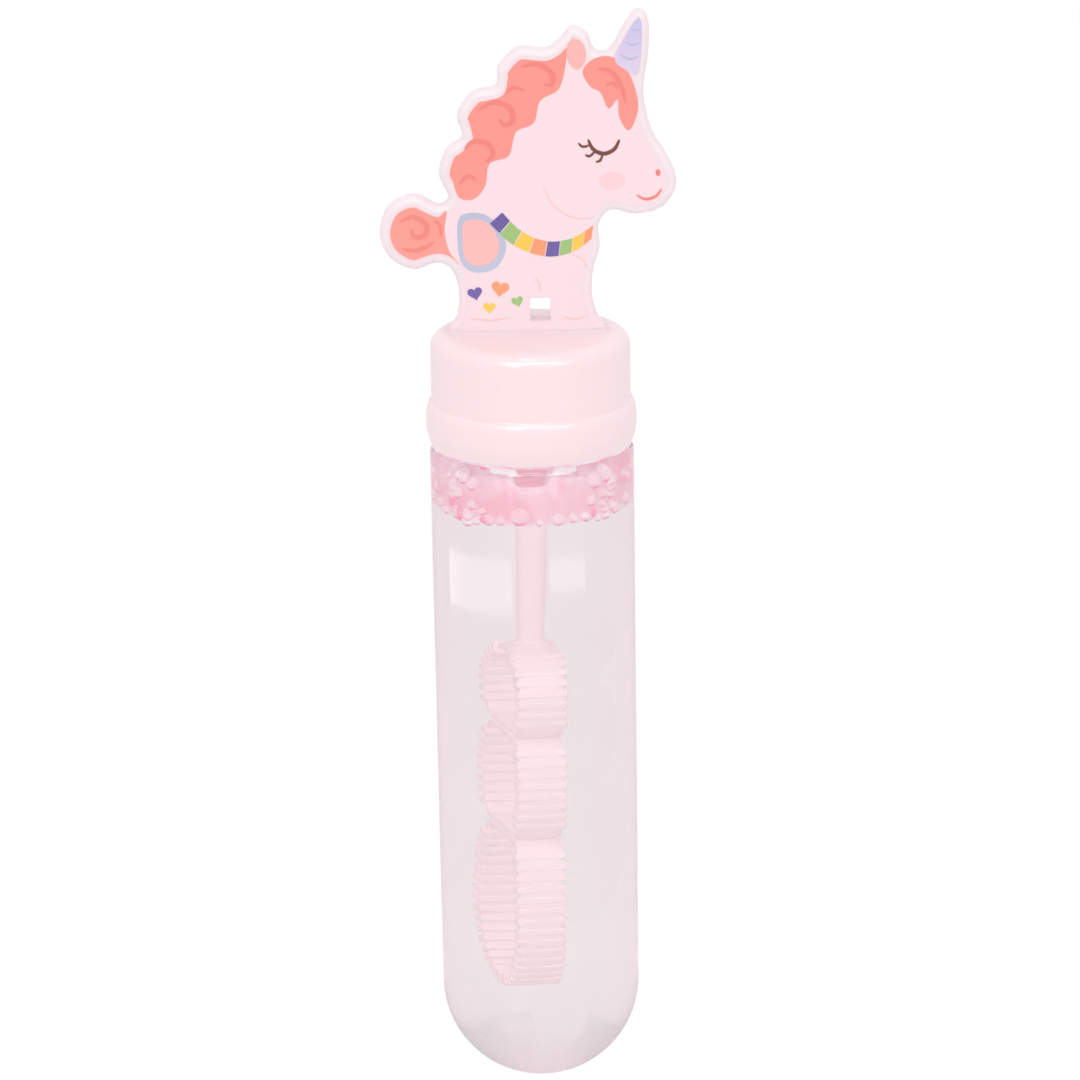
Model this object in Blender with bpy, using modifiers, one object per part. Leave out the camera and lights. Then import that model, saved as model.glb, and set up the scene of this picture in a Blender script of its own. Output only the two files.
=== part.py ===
"""Bubble tube toy: clear test tube of bubble solution, push-fit cap with its liner, flat animal topper and wand."""

import math

import bmesh
import bpy
from mathutils import Matrix, Vector

MM = 0.001

# Clearances between pieces
SEAT_GAP = 0.3 * MM
WAND_NECK_GAP = 0.52 * MM
WAND_SWING_GAP = 0.43 * MM
WAND_TIP_GAP = 1.6 * MM

# Tube
TUBE_RADIUS = 14.0 * MM
TUBE_WALL = 1.2 * MM
SHOULDER_HEIGHT = 93.45 * MM
SHOULDER_ROUND = 1.0 * MM
NECK_STEP = 2.3 * MM
NECK_WALL = 1.2 * MM
NECK_LENGTH = 12.05 * MM
SEAL_RIB_RISE = 0.3 * MM
SEAL_RIB_HALF = 0.7 * MM
SEAL_RIB_DROPS = (2.4 * MM, 6.4 * MM)

# Cap
CAP_STEP = 0.4 * MM
CAP_HEIGHT = 15.55 * MM
CAP_ROOF = 2.4 * MM
CAP_EDGE_ROUND = 2.0 * MM
BEAD_RISE = 0.82 * MM
BEAD_MIDDLE = 3.25 * MM
BEAD_TOP = 6.2 * MM
SOCKET_RADIUS = 2.2 * MM
SOCKET_BORE_RADIUS = 1.55 * MM
SOCKET_BORE_DEPTH = 8.2 * MM
SOCKET_DROP = 5.65 * MM
SLOT_DEPTH = 1.5 * MM

# Liner
LINER_THICKNESS = 0.8 * MM

# Topper
TOPPER_WIDTH = 40.0 * MM
TOPPER_HEIGHT = 43.6 * MM
TOPPER_THICKNESS = 3.0 * MM
TOPPER_EDGE_ROUND = 0.95 * MM
GAP_WIDTH = 2.75 * MM
GAP_HEIGHT = 3.2 * MM
GAP_CENTRE = 1.47 * MM
GAP_SILL = 1.4 * MM
TONGUE_WIDTH = 14.0 * MM
TONGUE_THICKNESS = 2.0 * MM

# Wand
WAND_TIP_HEIGHT = 14.2 * MM
LOOP_LENGTHS = (23.6 * MM, 15.05 * MM, 12.65 * MM)
LOOP_NARROWER = (0.0 * MM, 0.4 * MM, 0.5 * MM)
LOOP_WIDEST_SHARES = (0.479, 0.5, 0.455)
WAIST_INDENT = 3.5 * MM
WAIST_ARC_END = 80.0
HEAD_ARC_START = 84.0
BAND = 1.1 * MM
WAIST_BAR = 1.8 * MM
WEB_DEPTH = 5.6 * MM
WEB_CHAMFER = 0.3 * MM
RIB_DEPTH = 6.4 * MM
RIB_WIDTH = 0.95 * MM
RIB_PITCH = 1.6 * MM
RIB_SUNK = 0.12 * MM
RIB_IN = 0.65 * MM
SHAFT_LOW_RADIUS = 1.5 * MM
SHAFT_HIGH_RADIUS = 1.785 * MM
PLUG_LENGTH = 7.9 * MM
WAND_TURN = math.radians(11.0)
WAND_LEAN = math.radians(1.2)

# Bubble solution
LIQUID_DROP = 7.95 * MM

TURN_STEPS = 48
MERGE = 0.00001

# Outline of the topper as proportions of its width and height, from the right foot round to the left foot
TOPPER_OUTLINE_SHARES = (
    (0.2625, 0.000), (0.2300, 0.043), (0.2125, 0.109), (0.2175, 0.191), (0.2400, 0.260), (0.2375, 0.333),
    (0.2800, 0.378), (0.3650, 0.364), (0.4550, 0.387), (0.4995, 0.460), (0.4700, 0.544), (0.4225, 0.615),
    (0.4000, 0.688), (0.3925, 0.761), (0.4090, 0.870), (0.4090, 0.968), (0.3740, 0.9985), (0.3340, 0.960),
    (0.2800, 0.879), (0.2300, 0.877), (0.2050, 0.929), (0.1550, 0.948), (0.1150, 0.911), (0.0650, 0.882),
    (-0.0250, 0.886), (-0.0900, 0.829), (-0.1000, 0.770), (-0.1750, 0.752), (-0.2300, 0.683), (-0.2150, 0.615),
    (-0.2700, 0.574), (-0.2950, 0.497), (-0.2650, 0.428), (-0.3000, 0.401), (-0.3800, 0.433), (-0.4650, 0.401),
    (-0.4995, 0.319), (-0.4700, 0.241), (-0.3900, 0.200), (-0.3100, 0.219), (-0.2600, 0.196), (-0.2375, 0.128),
    (-0.2450, 0.050), (-0.2800, 0.000),
)


def clear_scene():
    for item in list(bpy.data.objects):
        bpy.data.objects.remove(item)


def new_collection(name):
    made = bpy.data.collections.new(name)
    bpy.context.scene.collection.children.link(made)
    return made


def plastic(name, colour, roughness, transmission=0.0):
    made = bpy.data.materials.new(name)
    made.use_nodes = True
    shader = made.node_tree.nodes["Principled BSDF"]
    shader.inputs["Base Color"].default_value = (*colour, 1.0)
    shader.inputs["Roughness"].default_value = roughness
    shader.inputs["Transmission Weight"].default_value = transmission
    return made


def ellipse_arc(centre, radii, start, end, count):
    """Points on an ellipse from one angle to another, both ends included."""
    points = []
    for i in range(count + 1):
        angle = math.radians(start + (end - start) * i / count)
        points.append((centre[0] + radii[0] * math.cos(angle), centre[1] + radii[1] * math.sin(angle)))
    return points


def add_object(name, mesh, collection, material):
    made = bpy.data.objects.new(name, mesh)
    collection.objects.link(made)
    mesh.materials.append(material)
    return made


def turned(name, profile, collection, material):
    """A profile of (radius, height) points turned about the Z axis."""
    mesh = bpy.data.meshes.new(name)
    edges = [(i, i + 1) for i in range(len(profile) - 1)]
    mesh.from_pydata([(radius, 0.0, height) for radius, height in profile], edges, [])
    made = add_object(name, mesh, collection, material)
    screw = made.modifiers.new("Turn", "SCREW")
    screw.axis = "Z"
    screw.angle = math.tau
    screw.steps = TURN_STEPS
    screw.render_steps = TURN_STEPS
    screw.use_merge_vertices = True
    screw.merge_threshold = MERGE
    screw.use_smooth_shade = True
    return made


def flat_piece(name, splines, thickness, edge, edge_steps, matrix, collection, material):
    """A plate with rounded edges, from closed outlines in the XY plane, laid out by a matrix."""
    curve = bpy.data.curves.new(name + "_outline", "CURVE")
    curve.dimensions = "2D"
    curve.fill_mode = "BOTH"
    curve.extrude = thickness / 2 - edge
    curve.bevel_depth = edge
    curve.bevel_resolution = edge_steps
    curve.offset = -edge
    for points in splines:
        spline = curve.splines.new("POLY")
        spline.points.add(len(points) - 1)
        for point, (x, y) in zip(spline.points, points):
            point.co = (x, y, 0.0, 1.0)
        spline.use_cyclic_u = True
    drawn = bpy.data.objects.new(name + "_outline", curve)
    collection.objects.link(drawn)
    drawn.matrix_world = matrix
    bpy.context.view_layer.update()
    graph = bpy.context.evaluated_depsgraph_get()
    mesh = bpy.data.meshes.new_from_object(drawn.evaluated_get(graph))
    bpy.data.objects.remove(drawn)
    shell = bmesh.new()
    shell.from_mesh(mesh)
    bmesh.ops.remove_doubles(shell, verts=shell.verts, dist=0.000001)
    bmesh.ops.recalc_face_normals(shell, faces=shell.faces)
    shell.to_mesh(mesh)
    shell.free()
    mesh.name = name
    mesh.materials.clear()
    made = add_object(name, mesh, collection, material)
    made.matrix_world = matrix
    mesh.shade_smooth()
    mesh.set_sharp_from_angle(angle=math.radians(40.0))
    return made


def block(shell, matrix, size):
    """Adds a box of the given size to a bmesh, centred where the matrix puts it."""
    bmesh.ops.create_cube(shell, size=1.0, matrix=matrix @ Matrix.Diagonal((*size, 1.0)))


def blocks(name, placed, collection, material):
    shell = bmesh.new()
    for matrix, size in placed:
        block(shell, matrix, size)
    mesh = bpy.data.meshes.new(name)
    shell.to_mesh(mesh)
    shell.free()
    made = add_object(name, mesh, collection, material)
    made.display_type = "WIRE"
    made.hide_render = True
    return made


def combine(target, other, operation):
    step = target.modifiers.new(other.name, "BOOLEAN")
    step.operation = operation
    step.solver = "EXACT"
    step.object = other


def smooth_line(points, count):
    """A Catmull-Rom curve through the points, open at its two ends."""
    padded = [points[0], *points, points[-1]]
    line = []
    for i in range(1, len(padded) - 2):
        before, here, after, last = (Vector(point) for point in padded[i - 1:i + 3])
        for k in range(count):
            t = k / count
            straight = 2 * here + (after - before) * t
            bend = (2 * before - 5 * here + 4 * after - last) * t ** 2
            twist = (3 * here - before - 3 * after + last) * t ** 3
            line.append(tuple(0.5 * (straight + bend + twist)))
    line.append(tuple(points[-1]))
    return line


def along(line, spacing):
    """(point, direction) at equal steps along an open line."""
    found = []
    left = spacing / 2
    for start, end in zip(line, line[1:]):
        start, end = Vector(start), Vector(end)
        length = (end - start).length
        while left <= length:
            direction = (end - start).normalized()
            found.append((start + direction * left, direction))
            left += spacing
        left -= length
    return found


clear_scene()
toy = new_collection("bubble_tube")
cutters = new_collection("cutters")
cutters.hide_render = True

clear_plastic = plastic("clear_tube_plastic", (0.93, 0.90, 0.92), 0.05, 0.9)
cap_plastic = plastic("pale_pink_cap_plastic", (0.96, 0.80, 0.83), 0.35)
liner_foam = plastic("white_liner_foam", (0.90, 0.90, 0.88), 0.7)
topper_plastic = plastic("pale_pink_topper_plastic", (0.96, 0.82, 0.86), 0.35)
wand_plastic = plastic("pale_pink_wand_plastic", (0.95, 0.68, 0.73), 0.35)
solution = plastic("bubble_solution_liquid", (0.93, 0.88, 0.90), 0.02, 0.95)

# Tube: inner side upwards, over the neck rim and down the outer side
inner_radius = TUBE_RADIUS - TUBE_WALL
neck_radius = TUBE_RADIUS - NECK_STEP
neck_bore = neck_radius - NECK_WALL
neck_top = SHOULDER_HEIGHT + NECK_LENGTH
throat_rise = (inner_radius - neck_bore) * 0.65
throat_top = SHOULDER_HEIGHT - 0.6 * TUBE_WALL
rim_round = NECK_WALL / 4
tube_profile = ellipse_arc((0.0, TUBE_RADIUS), (inner_radius, inner_radius), -90, 0, 10)
tube_profile += [
    (inner_radius, throat_top - throat_rise),
    (neck_bore, throat_top),
    (neck_bore, neck_top - rim_round),
    (neck_bore + rim_round, neck_top),
    (neck_radius - rim_round, neck_top),
    (neck_radius, neck_top - rim_round),
]
for drop in SEAL_RIB_DROPS:
    rib_height = neck_top - drop
    tube_profile += [
        (neck_radius, rib_height + SEAL_RIB_HALF),
        (neck_radius + SEAL_RIB_RISE, rib_height + SEAL_RIB_HALF * 0.35),
        (neck_radius + SEAL_RIB_RISE, rib_height - SEAL_RIB_HALF * 0.35),
        (neck_radius, rib_height - SEAL_RIB_HALF),
    ]
tube_profile += [(neck_radius, SHOULDER_HEIGHT)]
shoulder_centre = (TUBE_RADIUS - SHOULDER_ROUND, SHOULDER_HEIGHT - SHOULDER_ROUND)
tube_profile += ellipse_arc(shoulder_centre, (SHOULDER_ROUND, SHOULDER_ROUND), 90, 0, 4)
tube_profile += ellipse_arc((0.0, TUBE_RADIUS), (TUBE_RADIUS, TUBE_RADIUS), 0, -90, 12)
turned("tube", tube_profile, toy, clear_plastic)

# Cap: top face, outer side down, skirt inside up, then the wand socket and its blind bore
cap_radius = TUBE_RADIUS - CAP_STEP
cap_base = SHOULDER_HEIGHT + SEAT_GAP
cap_top = cap_base + CAP_HEIGHT
roof_under = cap_top - CAP_ROOF
skirt_inside = neck_radius + SEAL_RIB_RISE + SEAT_GAP
bead_height = cap_base + BEAD_MIDDLE
bead_drop = BEAD_RISE * 0.94
lower_radius = (bead_drop ** 2 + BEAD_MIDDLE ** 2) / (2 * bead_drop)
lower_angle = math.degrees(math.asin(BEAD_MIDDLE / lower_radius))
lower_centre = (cap_radius + BEAD_RISE - lower_radius, bead_height)
socket_end = cap_base - SOCKET_DROP
edge_centre = (cap_radius - CAP_EDGE_ROUND, cap_top - CAP_EDGE_ROUND)
cap_profile = [(0.0, cap_top)]
cap_profile += ellipse_arc(edge_centre, (CAP_EDGE_ROUND, CAP_EDGE_ROUND), 90, 0, 5)
cap_profile += ellipse_arc((cap_radius, bead_height), (BEAD_RISE, BEAD_TOP - BEAD_MIDDLE), 90, 0, 6)
cap_profile += ellipse_arc(lower_centre, (lower_radius, lower_radius), 0, -lower_angle, 5)[1:]
cap_profile += [
    (skirt_inside, cap_base),
    (skirt_inside, roof_under),
    (SOCKET_RADIUS, roof_under),
    (SOCKET_RADIUS, socket_end),
    (SOCKET_BORE_RADIUS, socket_end),
    (SOCKET_BORE_RADIUS, socket_end + SOCKET_BORE_DEPTH),
    (0.0, socket_end + SOCKET_BORE_DEPTH),
]
cap = turned("cap", cap_profile, toy, cap_plastic)
slot_size = (TONGUE_WIDTH + 2 * SEAT_GAP, TONGUE_THICKNESS + 2 * SEAT_GAP, 2 * SLOT_DEPTH)
slot = blocks("topper_slot", [(Matrix.Translation((0.0, 0.0, cap_top)), slot_size)], cutters, cap_plastic)
combine(cap, slot, "DIFFERENCE")

# Liner: a disc with a hole for the socket, between the neck rim and the cap roof
liner_hole = SOCKET_RADIUS + SEAT_GAP
liner_radius = skirt_inside - SEAT_GAP
liner_base = neck_top + SEAT_GAP
liner_profile = [
    (liner_hole, liner_base),
    (liner_hole, liner_base + LINER_THICKNESS),
    (liner_radius, liner_base + LINER_THICKNESS),
    (liner_radius, liner_base),
    (liner_hole, liner_base),
]
turned("cap_liner", liner_profile, toy, liner_foam)

# Topper: a plate standing across the cap, with a gap above its sill and a tongue in the cap's slot
topper_base = cap_top + SEAT_GAP
corners = [(x * TOPPER_WIDTH, y * TOPPER_HEIGHT) for x, y in TOPPER_OUTLINE_SHARES]
stand = Matrix.Translation((0.0, 0.0, topper_base)) @ Matrix.Rotation(math.radians(90.0), 4, "X")
outline = smooth_line(corners, 3)
topper = flat_piece("topper", [outline], TOPPER_THICKNESS, TOPPER_EDGE_ROUND, 1, stand, toy, topper_plastic)
gap_middle = topper_base + GAP_SILL + GAP_HEIGHT / 2
gap_size = (GAP_WIDTH, 2 * TOPPER_THICKNESS, GAP_HEIGHT)
gap_place = Matrix.Translation((GAP_CENTRE, 0.0, gap_middle))
gap = blocks("topper_gap", [(gap_place, gap_size)], cutters, topper_plastic)
combine(topper, gap, "DIFFERENCE")
tongue_height = SLOT_DEPTH + GAP_SILL * 0.6
tongue_middle = topper_base - SLOT_DEPTH + tongue_height / 2
tongue_size = (TONGUE_WIDTH, TONGUE_THICKNESS, tongue_height)
tongue_place = Matrix.Translation((0.0, 0.0, tongue_middle))
tongue = blocks("topper_tongue", [(tongue_place, tongue_size)], cutters, topper_plastic)
combine(topper, tongue, "UNION")

# Wand: three loops in one ribbed band, hung from the socket by a tapered shaft
loop_ends = [WAND_TIP_HEIGHT]
for length in LOOP_LENGTHS:
    loop_ends.append(loop_ends[-1] + length)
tip_end, low_waist, high_waist, head_top = loop_ends
widest = [end + length * share for end, length, share in zip(loop_ends, LOOP_LENGTHS, LOOP_WIDEST_SHARES)]
pivot = socket_end + PLUG_LENGTH / 2
lean_shift = (pivot - widest[0]) * math.sin(WAND_LEAN)
half_depth = RIB_DEPTH / 2
swept_radius = neck_bore - WAND_NECK_GAP
# The far corner of the leaning, turned tip loop reaches the swept radius
corner_along = lean_shift * math.sin(WAND_TURN)
corner_rest = half_depth ** 2 + 2 * lean_shift * half_depth * math.cos(WAND_TURN) + lean_shift ** 2
low_half = math.sqrt(corner_along ** 2 + swept_radius ** 2 - corner_rest) - corner_along
half_widths = [low_half - narrower for narrower in LOOP_NARROWER]
waist_half = low_half - WAIST_INDENT


def loop_side(inset, bar_inset, end):
    """The arcs of one side of the three loops, from the head down to the tip, set in from the outside."""
    waist = waist_half
    reach = [half - waist - inset for half in half_widths]
    head_radii = (half_widths[2] - inset, head_top - widest[2] - inset)
    head = ellipse_arc((0.0, widest[2]), head_radii, HEAD_ARC_START, 0, 12)
    upper = ellipse_arc((waist, widest[2]), (reach[2], widest[2] - high_waist - bar_inset), 0, -end, 7)
    middle_top = ellipse_arc((waist, widest[1]), (reach[1], high_waist - widest[1] - bar_inset), end, 0, 7)
    middle_end = ellipse_arc((waist, widest[1]), (reach[1], widest[1] - low_waist - bar_inset), 0, -end, 7)
    lower = ellipse_arc((waist, widest[0]), (reach[0], low_waist - widest[0] - bar_inset), end, 0, 8)
    tip = ellipse_arc((0.0, widest[0]), (low_half - inset, widest[0] - tip_end - inset), 0, -90, 12)
    return head + upper[1:], middle_top + middle_end[1:], lower + tip[1:]


def both_sides(right):
    return right + [(-x, y) for x, y in reversed(right) if abs(x) > MERGE]


head_side, middle_side, tip_side = loop_side(0.0, 0.0, WAIST_ARC_END)
outside = head_side + middle_side + tip_side
head_hole, middle_hole, tip_hole = loop_side(BAND, WAIST_BAR / 2, 90.0)
openings = [both_sides([(0.0, head_top - BAND)] + head_hole), both_sides(middle_hole), both_sides(tip_hole)]
hang = (
    Matrix.Translation((0.0, 0.0, pivot))
    @ Matrix.Rotation(WAND_LEAN, 4, "Y")
    @ Matrix.Rotation(WAND_TURN, 4, "Z")
    @ Matrix.Translation((0.0, 0.0, -pivot))
)
face_up = Matrix(((0.0, 0.0, 1.0, 0.0), (1.0, 0.0, 0.0, 0.0), (0.0, 1.0, 0.0, 0.0), (0.0, 0.0, 0.0, 1.0)))
splines = [both_sides(outside), *openings]
wand = flat_piece("wand", splines, WEB_DEPTH, WEB_CHAMFER, 0, hang @ face_up, toy, wand_plastic)

placed = []
for point, direction in along(outside, RIB_PITCH):
    near_waist = min(abs(point.y - low_waist), abs(point.y - high_waist)) < RIB_PITCH * 0.9
    if near_waist or point.x < SHAFT_HIGH_RADIUS * 2 and point.y > widest[2]:
        continue
    inward = Vector((direction.y, -direction.x))
    centre_point = point + inward * (BAND + RIB_IN + RIB_SUNK) / 2
    for side in (1.0, -1.0):
        if side < 0.0 and point.x < RIB_PITCH / 2:
            continue
        spot = Matrix.Translation((side * centre_point.x, centre_point.y, 0.0))
        spin = Matrix.Rotation(math.atan2(direction.y, side * direction.x), 4, "Z")
        placed.append((hang @ face_up @ spot @ spin, (RIB_WIDTH, BAND + RIB_IN - RIB_SUNK, RIB_DEPTH)))
ribs = blocks("wand_ribs", placed, cutters, wand_plastic)
combine(wand, ribs, "UNION")

plug_radius = SOCKET_BORE_RADIUS - SEAT_GAP
shaft_top = socket_end - SEAT_GAP
shaft_profile = [
    (0.0, shaft_top + PLUG_LENGTH),
    (plug_radius * 0.8, shaft_top + PLUG_LENGTH),
    (plug_radius, shaft_top + PLUG_LENGTH - plug_radius * 0.3),
    (plug_radius, shaft_top),
    (SHAFT_HIGH_RADIUS, shaft_top),
    (SHAFT_LOW_RADIUS, head_top),
    (SHAFT_LOW_RADIUS, head_top - BAND * 0.7),
    (0.0, head_top - BAND * 0.7),
]
shaft = turned("wand_shaft", shaft_profile, cutters, wand_plastic)
shaft.matrix_world = hang
shaft.modifiers["Turn"].steps = TURN_STEPS // 2
shaft.modifiers["Turn"].render_steps = TURN_STEPS // 2
shaft.display_type = "WIRE"
shaft.hide_render = True
combine(wand, shaft, "UNION")

# Bubble solution: fills the tube up to its level, with a round bore kept free for the wand
liquid_radius = inner_radius - SEAT_GAP
bore_radius = swept_radius + WAND_SWING_GAP
liquid_floor = tip_end - WAND_TIP_GAP
liquid_level = SHOULDER_HEIGHT - LIQUID_DROP
liquid_profile = [
    (0.0, liquid_floor),
    (bore_radius, liquid_floor),
    (bore_radius, liquid_level),
    (liquid_radius, liquid_level),
]
liquid_profile += ellipse_arc((0.0, TUBE_RADIUS), (liquid_radius, liquid_radius), 0, -90, 10)
turned("bubble_solution", liquid_profile, toy, solution)
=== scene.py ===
"""Bubble tube toy: clear tube of solution and foam, pale cap with a printed unicorn plate, ribbed wand."""

import math

import bmesh
import bpy
import numpy as np
from mathutils import Matrix, Vector


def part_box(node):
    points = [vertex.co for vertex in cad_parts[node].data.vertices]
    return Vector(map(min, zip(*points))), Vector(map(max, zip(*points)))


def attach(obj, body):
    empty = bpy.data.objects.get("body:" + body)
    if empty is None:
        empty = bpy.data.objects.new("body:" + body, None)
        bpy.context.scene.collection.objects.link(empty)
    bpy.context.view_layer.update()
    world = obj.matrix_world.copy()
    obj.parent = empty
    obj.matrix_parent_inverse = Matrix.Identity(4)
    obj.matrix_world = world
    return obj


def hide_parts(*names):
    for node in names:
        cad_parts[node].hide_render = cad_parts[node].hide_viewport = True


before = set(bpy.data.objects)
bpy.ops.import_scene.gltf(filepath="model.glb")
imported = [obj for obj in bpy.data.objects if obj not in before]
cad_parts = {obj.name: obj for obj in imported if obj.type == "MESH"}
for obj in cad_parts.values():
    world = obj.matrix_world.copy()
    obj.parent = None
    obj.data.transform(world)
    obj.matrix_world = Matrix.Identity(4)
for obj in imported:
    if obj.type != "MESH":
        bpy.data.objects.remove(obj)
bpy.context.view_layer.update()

MM = 0.001
WELD = 0.0000005
BUBBLE_WELD = 0.0000001
CREASE = math.radians(38.0)
TURN_STEPS = 192
LONG_SPAN = 0.8 * MM
END_RING = 0.12 * MM
SHARPEST_BISECTOR = 0.25
NOT_CROSSED = 0.985

# Heights and radii taken from the frame
tube_low, tube_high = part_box("tube")
cap_low, cap_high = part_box("cap")
plate_low, plate_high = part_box("topper")
liner_low, liner_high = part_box("cap_liner")
TUBE_RADIUS = (tube_high.x - tube_low.x) / 2
NECK_TOP = tube_high.z
CAP_TOP = cap_high.z
SOCKET_END = cap_low.z
LIQUID_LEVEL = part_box("bubble_solution")[1].z
PLATE_TOP = plate_high.z
PLATE_THICKNESS = plate_high.y - plate_low.y
PLATE_WIDTH = 40.0 * MM

# Tube and liquid
TUBE_WALL = 0.65 * MM
SHOULDER_HEIGHT = NECK_TOP - 12.05 * MM
SHOULDER_ROUND = 1.0 * MM
NECK_RADIUS = TUBE_RADIUS - 2.3 * MM
NECK_WALL = 1.2 * MM
NECK_FILLET = 0.4 * MM
THROAT_DROP = 0.45 * MM
THROAT_RISE = 1.25 * MM
SEAL_RIB_RISE = 0.3 * MM
SEAL_RIB_HALF = 0.7 * MM
SEAL_RIB_DROPS = (2.4 * MM, 6.4 * MM)
INNER_RADIUS = TUBE_RADIUS - TUBE_WALL
LIQUID_SUNK = 0.05 * MM
LIQUID_EDGE = 0.2 * MM
WET_NECK = 2.0 * MM

# Cap
SEAT_GAP = 0.3 * MM
CAP_RADIUS = TUBE_RADIUS - 0.4 * MM
CAP_BASE = SHOULDER_HEIGHT + SEAT_GAP
CAP_ROOF = 2.4 * MM
CAP_EDGE_ROUND = 2.0 * MM
ROOF_ROUND = 0.5 * MM
SOFT_EDGE = 0.15 * MM
RIM_LIFT = 0.30 * MM
# Below this height the cap's socket is painted deep pink, as painted shade inside the cap
SOCKET_SHADE_LINE = SHOULDER_HEIGHT - 0.3 * MM
BEAD_RISE = 0.82 * MM
BEAD_MIDDLE = 3.25 * MM
BEAD_TOP = 6.2 * MM
BEAD_FILLET = 0.05 * MM
BEAD_FILLET_TALL = 0.25 * MM
SOCKET_RADIUS = 2.2 * MM
SOCKET_FOOT_RADIUS = 1.9 * MM
SOCKET_BORE_RADIUS = 1.55 * MM
SOCKET_BORE_DEPTH = 8.2 * MM

# Topper plate
PLATE_BASE = CAP_TOP + SEAT_GAP
PLATE_ROUND = 0.95 * MM
PLATE_SUNK = 1.35 * MM
FOOT_ROUND = 0.6 * MM
FOOT_SUNK = 0.05 * MM
FOOT_SPREAD = 0.5 * MM
PLATE_GAP = (2.75 * MM, 3.2 * MM)
PLATE_GAP_MIDDLE = (1.47 * MM, 3.0 * MM)
PLATE_GAP_ROUND = 0.3 * MM
PLATE_GAP_EDGE = 0.05 * MM
OUTLINE_STEPS = 12

# Wand
WAND_TIP = 14.2 * MM
LOOP_LENGTHS = (23.6 * MM, 15.05 * MM, 12.65 * MM)
LOOP_HALF_WIDTHS = (8.6 * MM, 8.2 * MM, 8.1 * MM)
LOOP_WIDEST_SHARES = (0.479, 0.5, 0.455)
WAIST_HALF = 5.1 * MM
BAND = 1.1 * MM
WAIST_BAR = 1.8 * MM
WAIST_OVERLAP = 0.04 * MM
WEB_DEPTH = 5.6 * MM
RIB_DEPTH = 6.4 * MM
RIB_WIDTH = 0.95 * MM
RIB_PITCH = 1.6 * MM
RIB_ROUND = 0.16 * MM
RIB_SUNK = 0.02 * MM
BAND_SUNK = 0.12 * MM
RIB_IN = 0.65 * MM
RIB_CLEAR_OF_WAIST = 0.8 * RIB_PITCH
SHAFT_LOW_RADIUS = 1.5 * MM
SHAFT_HIGH_RADIUS = 1.785 * MM
SHAFT_FLARE = 0.9 * MM
SHAFT_STEPS = 48
PLUG_LENGTH = 7.9 * MM
WAND_TURN = math.radians(11.0)
WAND_LEAN = math.radians(1.2)

# The plate's outline as shares of its width and height, from the right foot round to the left foot
PLATE_OUTLINE_SHARES = (
    (0.2625, 0.0), (0.23, 0.043), (0.2125, 0.109), (0.2175, 0.191), (0.24, 0.26),
    (0.2375, 0.333), (0.28, 0.378), (0.365, 0.364), (0.455, 0.387), (0.4995, 0.46),
    (0.47, 0.544), (0.4225, 0.615), (0.4, 0.688), (0.3925, 0.761), (0.409, 0.87),
    (0.409, 0.968), (0.374, 0.9985), (0.334, 0.96), (0.28, 0.879), (0.23, 0.877),
    (0.205, 0.929), (0.155, 0.948), (0.115, 0.911), (0.065, 0.882), (-0.025, 0.886),
    (-0.09, 0.829), (-0.1, 0.77), (-0.175, 0.752), (-0.23, 0.683), (-0.215, 0.615),
    (-0.27, 0.574), (-0.295, 0.497), (-0.265, 0.428), (-0.3, 0.401), (-0.38, 0.433),
    (-0.465, 0.401), (-0.4995, 0.319), (-0.47, 0.241), (-0.39, 0.2), (-0.31, 0.219),
    (-0.26, 0.196), (-0.2375, 0.128), (-0.245, 0.05), (-0.28, 0.0),
)


def arc(centre, radii, start, end, count):
    """Points (cx + rx cos t, cy + ry sin t) with t from start to end degrees; one radius makes a circle."""
    turn = np.radians(np.linspace(start, end, count + 1))
    rx, ry = np.broadcast_to(radii, 2)
    return np.stack([centre[0] + rx * np.cos(turn), centre[1] + ry * np.sin(turn)], axis=1)


def smooth_line(points, count, closed=False):
    """A Catmull-Rom curve: each span is the cubic whose ends and end slopes come from four neighbours."""
    points = np.asarray(points, float)
    if closed:
        around = np.concatenate([points[-1:], points, points[:2]])
    else:
        around = np.concatenate([points[:1], points, points[-1:]])
    before, here, after, last = (around[k:len(around) - 3 + k, None, :] for k in range(4))
    t = (np.arange(count) / count)[None, :, None]
    spans = 0.5 * (
        2 * here
        + (after - before) * t
        + (2 * before - 5 * here + 4 * after - last) * t ** 2
        + (3 * here - before - 3 * after + last) * t ** 3
    )
    line = spans.reshape(-1, points.shape[1])
    return line if closed else np.concatenate([line, points[-1:]])


def smooth_step(value, low, high):
    """3 t^2 - 2 t^3 with t running from 0 at low to 1 at high."""
    t = np.clip((value - low) / (high - low), 0.0, 1.0)
    return t * t * (3 - 2 * t)


def full_turn(count):
    """Equal angles round a circle: 2 pi k / count."""
    return np.arange(count) / count * math.tau


def round_axis(radius, turn, height):
    """Points (r cos a, r sin a, height) round the tube's axis, for whole arrays at once."""
    return np.stack(np.broadcast_arrays(radius * np.cos(turn), radius * np.sin(turn), height), axis=-1)


def grid_faces(rows, columns, close_rows, close_columns):
    """Quads between neighbouring points of a grid, joined round where a direction is closed."""
    i = np.arange(rows if close_rows else rows - 1)[:, None]
    j = np.arange(columns if close_columns else columns - 1)[None, :]
    down, across = (i + 1) % rows, (j + 1) % columns
    corners = (i * columns + j, down * columns + j, down * columns + across, i * columns + across)
    return np.stack([np.broadcast_to(c, (i.size, j.size)) for c in corners], axis=-1).reshape(-1, 4)


def add_object(name, data):
    made = bpy.data.objects.new(name, data)
    bpy.context.scene.collection.objects.link(made)
    return made


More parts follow.
